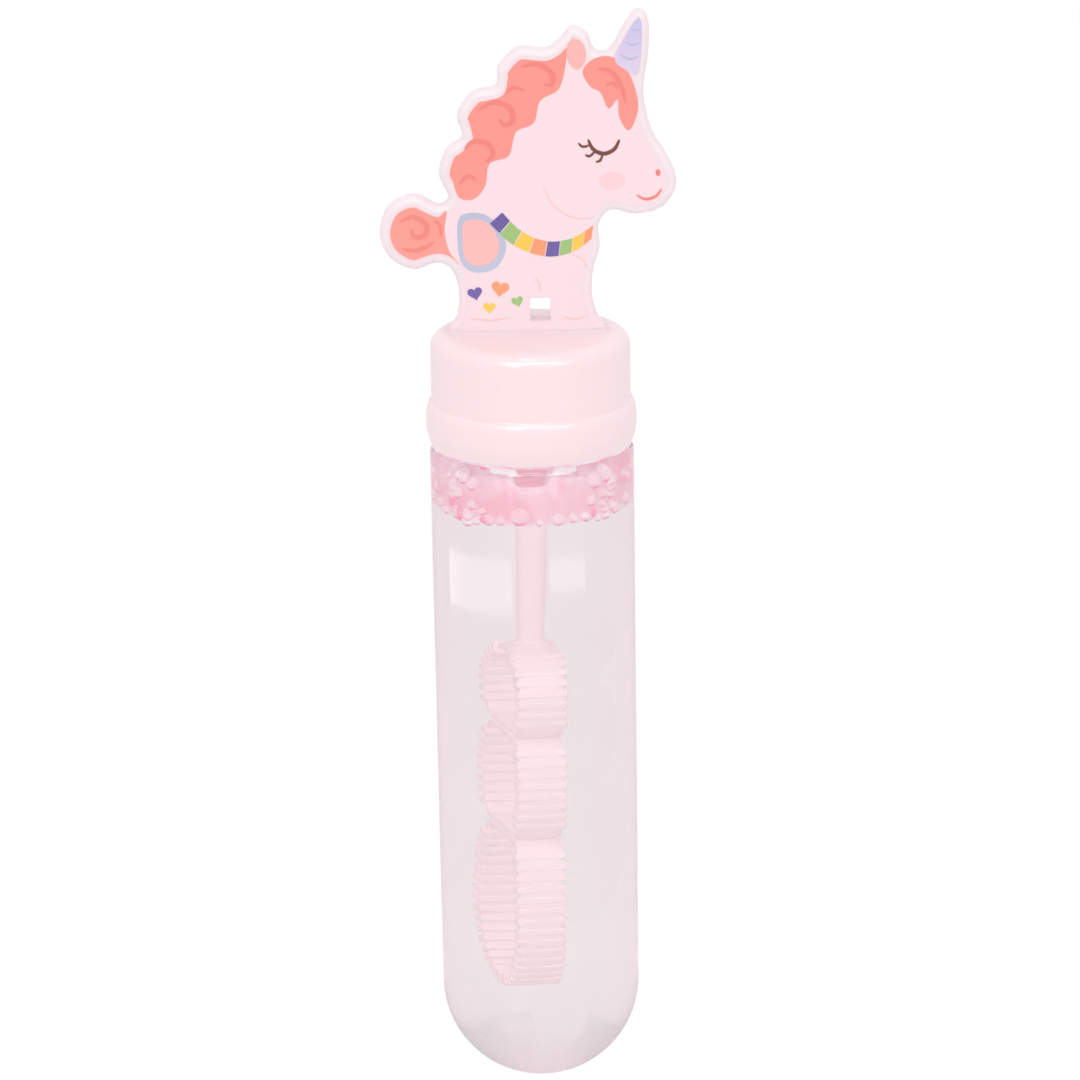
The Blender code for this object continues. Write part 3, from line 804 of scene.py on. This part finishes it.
hair_lines = strokes(
    (0.8, (-0.6, 36.2), (1.7, 36.5), (3.5, 35.2), (3.5, 33.8), (2.4, 33.8)),
    (0.8, (-6.3, 30.5), (-4.2, 31.5), (-2.2, 30.7), (-1.8, 29.0), (-2.9, 28.4), (-3.6, 29.3)),
    (0.75, (-8.3, 25.2), (-7.1, 26.2), (-5.2, 25.9), (-4.5, 24.4), (-5.5, 23.5)),
    (0.6, (-9.2, 20.4), (-7.9, 21.5), (-6.7, 20.9)),
    (0.55, (-0.1, 33.0), (-1.6, 33.4), (-2.6, 32.7)),
    (0.7, (9.6, 35.8), (11.4, 35.3), (12.7, 33.4), (13.3, 31.0)),
    (0.5, (10.6, 33.5), (11.6, 33.8), (12.3, 33.0)),
    (0.8, (-17.2, 15.4), (-15.4, 16.1), (-13.7, 15.0), (-13.9, 13.5), (-15.3, 13.4), (-15.7, 14.5)),
    (0.6, (-17.0, 11.7), (-14.8, 11.5), (-12.6, 12.6)),
    (0.5, (-12.5, 15.6), (-11.8, 14.7), (-11.7, 13.3)),
)
flat_layer("hair_lines", hair_lines, 3, "rust_line")

ear = [(8.0, 38.4), (7.3, 39.6), (6.2, 39.7), (5.5, 38.5), (5.8, 36.6), (6.9, 35.7), (7.9, 36.7)]
flat_layer("ear", [blob(ear)], 3, "rose")
horn = [(11.9, 37.1), (13.4, 40.2), (14.7, 42.2), (15.4, 42.0), (15.4, 38.6), (14.9, 35.0), (13.4, 35.5)]
flat_layer("horn", [blob(horn)], 3, "lilac")
horn_lines = strokes(
    (0.3, (12.6, 37.6), (13.8, 37.0), (15.0, 37.3)),
    (0.26, (13.3, 39.3), (14.3, 38.9), (15.2, 39.2)),
    (0.22, (14.2, 41.0), (14.8, 40.8), (15.3, 41.0)),
)
flat_layer("horn_lines", horn_lines, 4, "slate_blue")

# The closed eye's lid and its lashes, each a little above the last where they meet
eye_strokes = [
    stroke([(8.2, 26.3), (8.9, 24.9), (10.3, 24.3), (11.7, 24.9), (12.4, 26.2)], 0.55, 0.35),
    stroke([(8.5, 25.5), (7.5, 25.3), (6.9, 25.8)], 0.34, 0.4),
    stroke([(9.2, 24.7), (8.4, 24.0), (7.8, 24.2)], 0.34, 0.4),
    stroke([(10.2, 24.4), (9.8, 23.4), (9.2, 23.2)], 0.32, 0.4),
]
for number, outline in enumerate(eye_strokes):
    flat_layer(f"eye_{number + 1}", [outline], 3 + EYE_LAYER_STEP * number, "brown")
smile = stroke([(14.6, 18.6), (15.8, 18.0), (17.2, 18.4), (18.0, 19.4)], 0.38, 0.4)
flat_layer("smile", [smile], 3, "rust_line")
flat_layer("nostril", [oval((17.5, 21.6), (0.34, 0.46))], 3, "rust_line")
flat_layer("cheek", [oval((11.4, 20.6), (1.75, 1.25))], 2, "blush")

fold_lines = strokes(
    (0.3, (9.0, 15.6), (6.2, 15.6), (3.4, 17.4), (2.0, 20.4)),
    (0.28, (1.5, 5.4), (1.4, 6.6), (0.8, 7.6)),
    (0.26, (4.2, 2.0), (6.2, 1.6), (7.8, 2.0)),
    (0.26, (-8.2, 2.0), (-5.4, 1.6), (-2.6, 2.0)),
    (0.26, (7.9, 8.6), (7.2, 9.9), (5.8, 10.6)),
)
flat_layer("fold_lines", fold_lines, 2, "fold_line")

# Garland round the neck: eight patches between two lines, in four colours twice over
garland_top, garland_low = (
    smooth_line(np.array(points) * MM, 12)
    for points in (
        [(8.8, 14.6), (6.0, 12.9), (2.6, 12.5), (-0.8, 13.9), (-3.4, 16.6)],
        [(8.5, 12.6), (5.8, 10.8), (2.2, 10.3), (-2.0, 11.9), (-5.2, 15.0)],
    )
)
patch_ends = np.linspace(0, len(garland_top) - 1, 2 * len(GARLAND_INKS) + 1).astype(int)
for number, ink in enumerate(GARLAND_INKS):
    outlines = []
    for k in (number, number + len(GARLAND_INKS)):
        patch = slice(patch_ends[k], patch_ends[k + 1] + 1)
        ring = np.concatenate([garland_top[patch], garland_low[patch][::-1]])
        middle = ring.mean(axis=0)
        outlines.append(middle + (ring - middle) * GARLAND_SHRINK)
    flat_layer(f"garland_{ink}", outlines, 3, ink)

# Saddle cloth and hearts
saddle_edge = [
    (-9.1, 16.0), (-6.2, 16.4), (-3.9, 14.6), (-3.0, 11.6), (-4.4, 8.9), (-7.2, 8.3), (-9.0, 9.6),
    (-9.5, 12.6),
]
saddle = [
    (-8.6, 15.2), (-6.3, 15.5), (-4.6, 14.1), (-3.9, 11.7), (-5.0, 9.7), (-7.1, 9.2), (-8.5, 10.2),
    (-8.8, 12.6),
]
flat_layer("saddle_edge", [blob(saddle_edge)], 2, "slate_blue")
flat_layer("saddle", [blob(saddle)], 3, "rose")
for ink, centre, size, tilt in (
    ("violet", (-7.3, 5.4), 2.0, 12.0),
    ("orange", (-3.9, 6.0), 2.4, -10.0),
    ("yellow", (-5.4, 3.4), 1.7, 0.0),
    ("green", (-1.6, 4.2), 1.6, 14.0),
):
    flat_layer(f"heart_{ink}", [heart(centre, size, tilt)], 3, ink)

# Wand: three ribbed loops and a tapered stem, in the loops' own plane, then hung from the socket
loop_ends = np.concatenate([[WAND_TIP], WAND_TIP + np.cumsum(LOOP_LENGTHS)])
widest = loop_ends[:3] + np.array(LOOP_LENGTHS) * LOOP_WIDEST_SHARES
head_top = loop_ends[3]


def loop_outline(number, set_in, bar_in):
    """One side of a loop as two ellipse arcs, set in from its outside, then mirrored and closed."""
    low, high = loop_ends[number], loop_ends[number + 1]
    centre, half = widest[number], LOOP_HALF_WIDTHS[number]

    def quarter(height, is_round_end, start):
        if is_round_end:
            return arc((0.0, centre), (half - set_in, height - set_in), start, start - 90, 28)
        return arc((WAIST_HALF, centre), (half - WAIST_HALF - set_in, height - bar_in), start, start - 90, 24)

    top, foot = quarter(high - centre, number == 2, 90), quarter(centre - low, number == 0, 0)
    side = np.concatenate([top, foot[1:]])
    return np.concatenate([side, side[::-1] * (-1, 1)])


def band_profile():
    """The band's section as (share of the way in, depth): long chamfers outside, small ones inside."""
    half = WEB_DEPTH / 2
    upper = [(0.0, 1.55 * MM), (0.1, 2.10 * MM), (0.38, half), (0.85, half), (1.0, half - 0.2 * MM)]
    return np.array(upper + [(share, -depth) for share, depth in reversed(upper)])


def loop_band(number):
    """Each point lies a share of the way from the outer to the inner outline, at its own depth."""
    outer = loop_outline(number, BAND_SUNK, -WAIST_OVERLAP)
    inner = loop_outline(number, BAND, WAIST_BAR / 2)
    section = band_profile()
    share = section[:, 0][None, :, None]
    flat = outer[:, None, :] * (1 - share) + inner[:, None, :] * share
    depth = np.broadcast_to(section[:, 1], flat.shape[:2])
    points = np.stack([depth, flat[..., 0], flat[..., 1]], axis=-1)
    return points.reshape(-1, 3), grid_faces(len(outer), len(section), True, True)


def rib_places():
    """(points, tangents) at equal steps along one side of the outside, without the waists and the stem."""
    sides = [loop_outline(number, 0.0, 0.0) for number in (2, 1, 0)]
    line = np.concatenate([side[:len(side) // 2] for side in sides])
    step = np.linalg.norm(np.diff(line, axis=0), axis=1)
    travelled = np.concatenate([[0.0], np.cumsum(step)])
    at = np.arange(RIB_PITCH / 2, travelled[-1], RIB_PITCH)
    points, ahead, behind = (
        np.stack([np.interp(at + shift, travelled, line[:, k]) for k in (0, 1)], axis=1)
        for shift in (0.0, 0.1 * MM, -0.1 * MM)
    )
    tangent = ahead - behind
    tangent /= np.linalg.norm(tangent, axis=1, keepdims=True)
    waist_gap = np.abs(points[:, 1:] - loop_ends[1:3]).min(axis=1)
    beside_stem = (points[:, 0] <= SHAFT_HIGH_RADIUS * 2) & (points[:, 1] >= widest[2])
    clear = (waist_gap > RIB_CLEAR_OF_WAIST) & ~beside_stem
    return points[clear], tangent[clear]


def ribs():
    """Small bars across the band: a rounded rectangle in the loop's plane, carried through the depth."""
    points, tangent = rib_places()
    mirror = points[:, 0] > RIB_PITCH / 2
    points = np.concatenate([points, points[mirror] * (-1, 1)])
    tangent = np.concatenate([tangent, tangent[mirror] * (-1, 1)])
    side = np.where(points[:, :1] >= 0, 1.0, -1.0)
    inward = np.stack([tangent[:, 1], -tangent[:, 0]], axis=1) * side
    length = BAND + RIB_IN - RIB_SUNK
    outline = rounded_box_outline((0.0, 0.0), (RIB_WIDTH, length), RIB_ROUND)
    depths = np.array([-1.0, -0.96, 0.96, 1.0]) * RIB_DEPTH / 2
    shrink = np.array([0.82, 1.0, 1.0, 0.82])
    middle = points + inward * (RIB_SUNK + length / 2)
    section = outline * shrink[:, None, None]
    across = section[..., :1] * tangent[:, None, None]
    flat = middle[:, None, None] + across + section[..., 1:] * inward[:, None, None]
    depth = np.broadcast_to(depths[None, :, None], flat.shape[:3])
    grid = np.stack([depth, flat[..., 0], flat[..., 1]], axis=-1)
    count, rings, around = grid.shape[:3]
    starts = np.arange(count)[:, None, None] * rings * around
    faces = (grid_faces(rings, around, False, True)[None] + starts).reshape(-1, 4).tolist()
    for first in range(0, count * rings * around, rings * around):
        last = first + (rings - 1) * around
        faces += [list(range(first, first + around)), list(range(last, last + around))]
    return grid.reshape(-1, 3), faces


def stem():
    """The stem and its plug: a (radius, height) profile turned round the loops' middle line."""
    foot = head_top - BAND * 0.7
    shaft_top = SOCKET_END - SEAT_GAP
    plug_radius = SOCKET_BORE_RADIUS - SEAT_GAP
    plug_top = shaft_top + PLUG_LENGTH
    return revolved(np.concatenate([
        [(0.0, foot), (SHAFT_LOW_RADIUS * 1.35, foot)],
        arc((SHAFT_LOW_RADIUS + SHAFT_FLARE, head_top + SHAFT_FLARE), SHAFT_FLARE, 255, 180, 8),
        [(SHAFT_HIGH_RADIUS, shaft_top - 0.1 * MM), (SHAFT_HIGH_RADIUS - 0.1 * MM, shaft_top)],
        [(plug_radius, shaft_top), (plug_radius, plug_top - 0.3 * MM)],
        [(plug_radius * 0.8, plug_top), (0.0, plug_top)],
    ]), SHAFT_STEPS)


vertices, faces = [], []
total = 0
for part_points, part_faces in [loop_band(0), loop_band(1), loop_band(2), ribs(), stem()]:
    vertices.append(part_points)
    faces += [[index + total for index in face] for face in part_faces]
    total += len(part_points)
wand = closed_mesh("wand_loops", np.concatenate(vertices), faces, wand_plastic)
pivot = SOCKET_END + PLUG_LENGTH / 2
hang = (
    Matrix.Translation((0.0, 0.0, pivot))
    @ Matrix.Rotation(WAND_LEAN, 4, "Y")
    @ Matrix.Rotation(WAND_TURN, 4, "Z")
    @ Matrix.Translation((0.0, 0.0, -pivot))
)
placed(wand, hang)
finished(glowing(wand), "cap", "wand", "wand")

# Foam: froth on the liquid, higher at both sides, bubbles against the wall, and a ring on the shoulder
FOAM_SEED = 11
BALL_ROWS = 12
BALL_COLUMNS = 20
FROTH_RINGS = 60
FROTH_STEPS = 176
FROTH_DOMES = 300
FROTH_RADIUS = INNER_RADIUS - 0.75 * MM
FROTH_LIFT = 2.4 * MM
FROTH_DISH = 3.1 * MM
FROTH_CLIMB = 0.5 * MM
FROTH_SWELL = 0.7
FROTH_UNDER = 0.15 * MM
NOTCH_HEIGHT = 1.7 * MM
NOTCH_SLOPE = 0.3
NOTCH_MIDDLE = -0.3 * MM
NOTCH_HALF_WIDTHS = (1.3 * MM, 2.6 * MM)
WALL_BUBBLE_SET_IN = 1.02
SEAT_RING_STEPS = (14, 288)
SEAT_RING_BUMPS = (29, 11)
SEAT_RING_RADIUS = 12.65 * MM
SEAT_RING_SPREAD = 0.5 * MM
# Wall bubbles in front: degrees from the front, radius and height over the liquid in mm
WALL_BUBBLES = (
    (-8.0, 1.45, -0.1), (3.7, 0.5, 0.0), (15.7, 0.88, -0.1), (25.0, 0.66, 0.1), (33.9, 0.71, -0.1),
    (42.1, 0.59, -0.4), (-19.8, 0.63, 0.0), (-28.2, 0.8, -0.2), (-36.1, 0.63, -0.4), (-43.4, 0.88, -0.9),
    (-52.4, 1.05, -0.3), (-31.6, 0.55, 1.2), (-39.7, 0.71, 1.6), (49.6, 0.8, -0.5), (55.2, 0.8, 0.4),
    (46.2, 0.59, 1.4), (-39.7, 0.88, 4.3), (-46.8, 0.8, 5.0), (-51.5, 1.01, 2.6), (-56.0, 0.92, 3.4),
    (-49.6, 0.67, 5.4), (41.0, 1.09, 4.2), (50.6, 1.22, 4.6), (56.0, 1.01, 3.9), (47.4, 0.76, 2.6),
    (54.0, 0.84, 2.2),
)
# Rows of wall bubbles all round: count, radii, heights over the liquid and how far they keep to the sides
WALL_ROWS = (
    (24, (0.55, 1.0), (-0.5, 0.5), 0.6),
    (20, (0.6, 1.15), (1.8, 4.0), 0.75),
    (14, (0.45, 0.85), (4.0, 5.6), 0.8),
)
# Single bubbles: degrees from the front, distance off the axis, height over the liquid, half sizes; the long
# pale ones are painted highlights for the white gleam strips under the shoulder, the pink ones painted
# reflections of the pink cap
HIGHLIGHT_BUBBLES = ((-20.5, 10.6, 6.35, 2.0, 0.36), (23.5, 10.6, 6.3, 1.8, 0.36))
CAP_PINK_SPOTS = (
    (-42.0, 11.0, 6.95, 0.75, 0.34), (-35.5, 11.1, 6.8, 0.6, 0.3), (36.0, 11.1, 6.9, 0.55, 0.28),
    (43.0, 11.1, 6.95, 0.5, 0.3), (60.0, 11.4, 7.0, 0.5, 0.45), (-48.6, 12.9, 0.7, 0.52, 1.05),
    (-30.0, 12.9, 0.55, 0.76, 0.48), (-56.0, 12.9, 2.0, 0.5, 0.6), (38.5, 12.9, 1.0, 0.4, 0.7),
)
chance = np.random.RandomState(FOAM_SEED)


def bubble_ball():
    """A unit ball: x = cos u cos v, y = cos u sin v, z = sin u."""
    up = np.radians(np.linspace(-90, 90, BALL_ROWS + 1))[:, None]
    points = round_axis(np.cos(up), full_turn(BALL_COLUMNS), np.sin(up))
    return points.reshape(-1, 3), grid_faces(BALL_ROWS + 1, BALL_COLUMNS, False, True)


def wall_row(count, sizes, heights, sideways):
    """(angle, radius, height) of a row of bubbles that keeps to where |cos angle| is over a chance share."""
    turn = (np.arange(count) + chance.uniform(-0.35, 0.35, count)) / count * math.tau
    radius = chance.uniform(*sizes, count) * MM
    height = LIQUID_LEVEL + radius * 0.9 + chance.uniform(*heights, count) * MM
    keep = np.abs(np.cos(turn)) > sideways * chance.uniform(0.6, 1.1, count)
    return np.column_stack([turn, radius, height])[keep]


def bubble_cloud(name, places, material):
    """A ball for each (angle, distance off axis, height, half width, half height), as deep as the lesser."""
    turn, off_axis, height, wide, tall = places.T
    outward = round_axis(1.0, turn, 0.0)
    sideways = np.stack([-np.sin(turn), np.cos(turn), 0 * turn], axis=1)
    centres = round_axis(off_axis, turn, height)
    ball_points, ball_faces = bubble_ball()
    points = (
        centres[:, None]
        + ball_points[None, :, :1] * (np.minimum(wide, tall)[:, None] * outward)[:, None]
        + ball_points[None, :, 1:2] * (wide[:, None] * sideways)[:, None]
        + ball_points[None, :, 2:] * (tall[:, None] * (0.0, 0.0, 1.0))[:, None]
    ).reshape(-1, 3)
    faces = (ball_faces[None] + np.arange(len(places))[:, None, None] * len(ball_points)).reshape(-1, 4)
    made = closed_mesh(name, points, faces, material, BUBBLE_WELD)
    made.data.shade_smooth()
    return finished(see_through(made), "tube", "solution")


def from_front(rows):
    """Places of single bubbles from their rows: degrees made angles, millimetres metres, heights absolute."""
    rows = np.array(rows)
    places = rows * MM
    places[:, 0] = np.radians(rows[:, 0] - 90.0)
    places[:, 2] += LIQUID_LEVEL
    return places


degrees, size, lift = np.array(WALL_BUBBLES).T
front = np.column_stack([np.radians(degrees - 90.0), size * MM, LIQUID_LEVEL + (lift + size * 0.9) * MM])
turn, radius, height = np.concatenate([front] + [wall_row(*row) for row in WALL_ROWS]).T
off_axis = INNER_RADIUS - radius * WALL_BUBBLE_SET_IN
bubble_cloud("foam_bubbles", np.column_stack([turn, off_axis, height, radius, radius]), film)
# Painted highlights: long pale bubbles for the white gleam strips under the shoulder
bubble_cloud("foam_painted_highlights", from_front(HIGHLIGHT_BUBBLES), highlight_film)
# Painted reflections: saturated pink blobs for the pink cap seen in the foam
bubble_cloud("foam_painted_cap_pink", from_front(CAP_PINK_SPOTS), cap_pink_film)


def swell(points, centres, radii):
    """The highest sqrt(q^2 - d^2) over domes of radius q whose centres lie at distance d."""
    away = np.linalg.norm(points[..., None, :] - centres, axis=-1)
    return np.sqrt(np.maximum(radii ** 2 - away ** 2, 0.0)).max(axis=-1)


def froth_bed():
    """z = level + lift + dish * step(r) + climb * step(|x|) + a share of the swell, less a notch in front."""
    centre_turn = chance.uniform(0, math.tau, FROTH_DOMES)
    centre_radius = np.sqrt(chance.uniform(0, 1, FROTH_DOMES)) * FROTH_RADIUS
    domes = round_axis(centre_radius, centre_turn, 0.0)[:, :2]
    sizes = chance.uniform(0.5, 1.4, FROTH_DOMES) * MM
    radius = np.linspace(0.0, FROTH_RADIUS, FROTH_RINGS)[:, None]
    turn = full_turn(FROTH_STEPS)
    flat = round_axis(radius, turn, 0.0)[..., :2]
    sideways = smooth_step(np.abs(flat[..., 0]) / INNER_RADIUS, 0.55, 0.92)
    fade = smooth_step(FROTH_RADIUS - radius, 0.0, 0.8 * MM)
    dish = smooth_step(radius / FROTH_RADIUS, 0.15, 0.9)
    height = FROTH_LIFT + FROTH_DISH * dish * (0.7 + 0.3 * fade) + FROTH_CLIMB * sideways
    height = height + FROTH_SWELL * swell(flat, domes, sizes) * (0.3 + 0.7 * fade)
    notch = 1.0 - smooth_step(np.abs(flat[..., 0] - NOTCH_MIDDLE), *NOTCH_HALF_WIDTHS)
    notch = notch * (1.0 - smooth_step(flat[..., 1], 0.0, 1.0 * MM))
    notched = np.minimum(height, NOTCH_HEIGHT + NOTCH_SLOPE * radius)
    height = LIQUID_LEVEL + height + notch * (notched - height)
    underside = round_axis(radius[::-1], turn, LIQUID_LEVEL - FROTH_UNDER)
    points = np.concatenate([round_axis(radius, turn, height), underside]).reshape(-1, 3)
    faces = grid_faces(2 * FROTH_RINGS, FROTH_STEPS, False, True)
    return closed_mesh("froth_bed", points, faces, froth_cap_pink)


def seat_ring():
    """A froth ring between shoulder and rim, painted deep pink as a reflection of the pink cap: an oval
    section whose height and width swell by two sines.
    """
    steps, around = SEAT_RING_STEPS
    turn = full_turn(around)[None, :]
    section = full_turn(steps)[:, None]
    fast, slow = SEAT_RING_BUMPS
    bump = 0.5 + 0.5 * np.sin(turn * fast + 0.6) * np.sin(turn * slow)
    half_height = (0.10 + 0.20 * bump) * MM
    half_width = (0.40 + 0.20 * bump) * MM
    spread = SEAT_RING_SPREAD * np.cos(turn) ** 6
    radius = SEAT_RING_RADIUS + half_width * np.cos(section) + spread
    height = SHOULDER_HEIGHT + half_height * (0.85 + np.sin(section)) - spread / 4
    points = round_axis(radius, turn, height).reshape(-1, 3)
    return closed_mesh("seat_froth", points, grid_faces(steps, around, True, True), seat_cap_pink)


finished(see_through(froth_bed()), "tube", "solution")
finished(see_through(seat_ring()), "tube", "solution")

# Studio: a pale floor below the held tube, a white surround, lamps, cards that give glare, and the camera
WHITE = (1.0, 1.0, 1.0)
BLACK = (0.0, 0.0, 0.0)
FLOOR_GREY = (0.84, 0.84, 0.84)
FLOOR_GLOW = 0.215
FLOOR_DROP = 70.0 * MM
FLOOR_REACH = 3.0
CARD_LIFT = 0.5 * MM
CARD_STRENGTH = 2.6
SCATTERED_DAYLIGHT = 0.93


def seen_directly(tree):
    """1 for rays that come from the camera, a gloss or a clear surface, else 0."""
    camera_ray, glossy_ray, clear_ray = (
        add_node(tree, "ShaderNodeLightPath", {}, kind)
        for kind in ("Is Camera Ray", "Is Glossy Ray", "Is Transmission Ray")
    )
    return calculated(tree, "MAXIMUM", calculated(tree, "MAXIMUM", camera_ray, glossy_ray), clear_ray)


def stage_mesh(name, points, material):
    """One flat face of the studio."""
    mesh = bpy.data.meshes.new(name)
    mesh.from_pydata(points, [], [list(range(len(points)))])
    mesh.materials.append(material)
    made = add_object(name, mesh)
    return made


world = bpy.data.worlds.new("studio_surround")
bpy.context.scene.world = world
world.use_nodes = True
tree = world.node_tree
daylight = ranged(tree, seen_directly(tree), 0.0, 1.0, SCATTERED_DAYLIGHT, 1.0)
feed(tree, tree.nodes["Background"], {"Color": WHITE, "Strength": daylight})
world.cycles.sampling_method = "NONE"

floor_material, tree, shader = new_material("pale_floor")
feed(tree, shader, {
    "Base Color": FLOOR_GREY,
    "Roughness": 0.9,
    "Specular IOR Level": 0.0,
    "Emission Color": WHITE,
    "Emission Strength": calculated(tree, "MULTIPLY", seen_directly(tree), FLOOR_GLOW),
})
floor_signs = ((-1, -1), (1, -1), (1, 1), (-1, 1))
floor_points = [(sx * FLOOR_REACH, sy * FLOOR_REACH, -FLOOR_DROP) for sx, sy in floor_signs]
stage_mesh("studio_floor", floor_points, floor_material)


def soft_lamp(name, place, aim_height, size, power, gloss_only=False):
    """A rectangular lamp turned to a point of the axis; it doesn't show itself, not even through the tube."""
    lamp = bpy.data.lights.new(name, "AREA")
    lamp.shape = "RECTANGLE"
    lamp.size, lamp.size_y = size
    lamp.energy = power
    holder = add_object(name, lamp)
    holder.location = place
    way = Vector((0.0, 0.0, aim_height)) - Vector(place)
    holder.rotation_euler = way.to_track_quat("-Z", "Y").to_euler()
    unmet_by(holder, "camera", "transmission")
    holder.visible_diffuse = not gloss_only


soft_lamp("key_lamp", (-0.26, -0.72, 0.5), 0.09, (0.22, 0.22), 0.8)
soft_lamp("side_lamp", (0.34, -0.7, 0.45), 0.09, (0.5, 0.4), 0.6)
soft_lamp("top_lamp", (-0.02, -0.22, 0.8), 0.1, (0.16, 0.16), 0.4)
soft_lamp("edge_gleam", (0.0, -0.63, 0.67), 0.1, (1.0, 0.1), 2.2, gloss_only=True)
soft_lamp("bottom_gleam", (0.5, -0.6, 0.48), 0.01, (0.14, 0.14), 0.17, gloss_only=True)


def gleam_card(name, near, far, start, end):
    """A bright ring sector on the floor, in degrees off the camera's side, that only glosses show."""
    made, tree, shader = new_material(name)
    glare = {"Emission Color": WHITE, "Emission Strength": CARD_STRENGTH}
    feed(tree, shader, {"Base Color": BLACK, "Specular IOR Level": 0.0, **glare})
    outer, inner = (arc((0.0, 0.0), radius, start - 90, end - 90, 24) for radius in (far, near))
    outline = np.concatenate([outer, inner[::-1]])
    points = np.column_stack([outline, np.full(len(outline), CARD_LIFT - FLOOR_DROP)])
    unmet_by(stage_mesh(name, points.tolist(), made), "camera", "diffuse", "transmission", "shadow")


gleam_card("left_gleam_card", 430.0 * MM, 474.0 * MM, -110.0, -25.0)
gleam_card("right_gleam_card", 448.0 * MM, 475.0 * MM, 17.0, 59.0)

# The camera, fitted to the photo: its distance from the aim point, height angle, lens and slight roll
CAMERA_DISTANCE = 547.0 * MM
CAMERA_ELEVATION = math.radians(17.8)
CAMERA_AIM = Vector((0.9 * MM, 0.0, 79.4 * MM))
CAMERA_ROLL = math.radians(0.97)
FOCAL_PIXELS = 3962.0
FRAME_PIXELS = 1080.0
SENSOR_WIDTH = 36.0
CAMERA_CLIP = (0.01, 20.0)
camera_data = bpy.data.cameras.new("camera")
camera_data.sensor_width = SENSOR_WIDTH
camera_data.lens = SENSOR_WIDTH * FOCAL_PIXELS / FRAME_PIXELS
camera_data.clip_start, camera_data.clip_end = CAMERA_CLIP
camera = add_object("camera", camera_data)
back = Vector((0.0, -math.cos(CAMERA_ELEVATION), math.sin(CAMERA_ELEVATION)))
aimed = (-back).to_track_quat("-Z", "Y").to_matrix().to_4x4()
camera.matrix_world = (
    Matrix.Translation(CAMERA_AIM + back * CAMERA_DISTANCE) @ aimed @ Matrix.Rotation(-CAMERA_ROLL, 4, "Z")
)
bpy.context.scene.camera = camera
bpy.context.scene.view_settings.view_transform = "Standard"
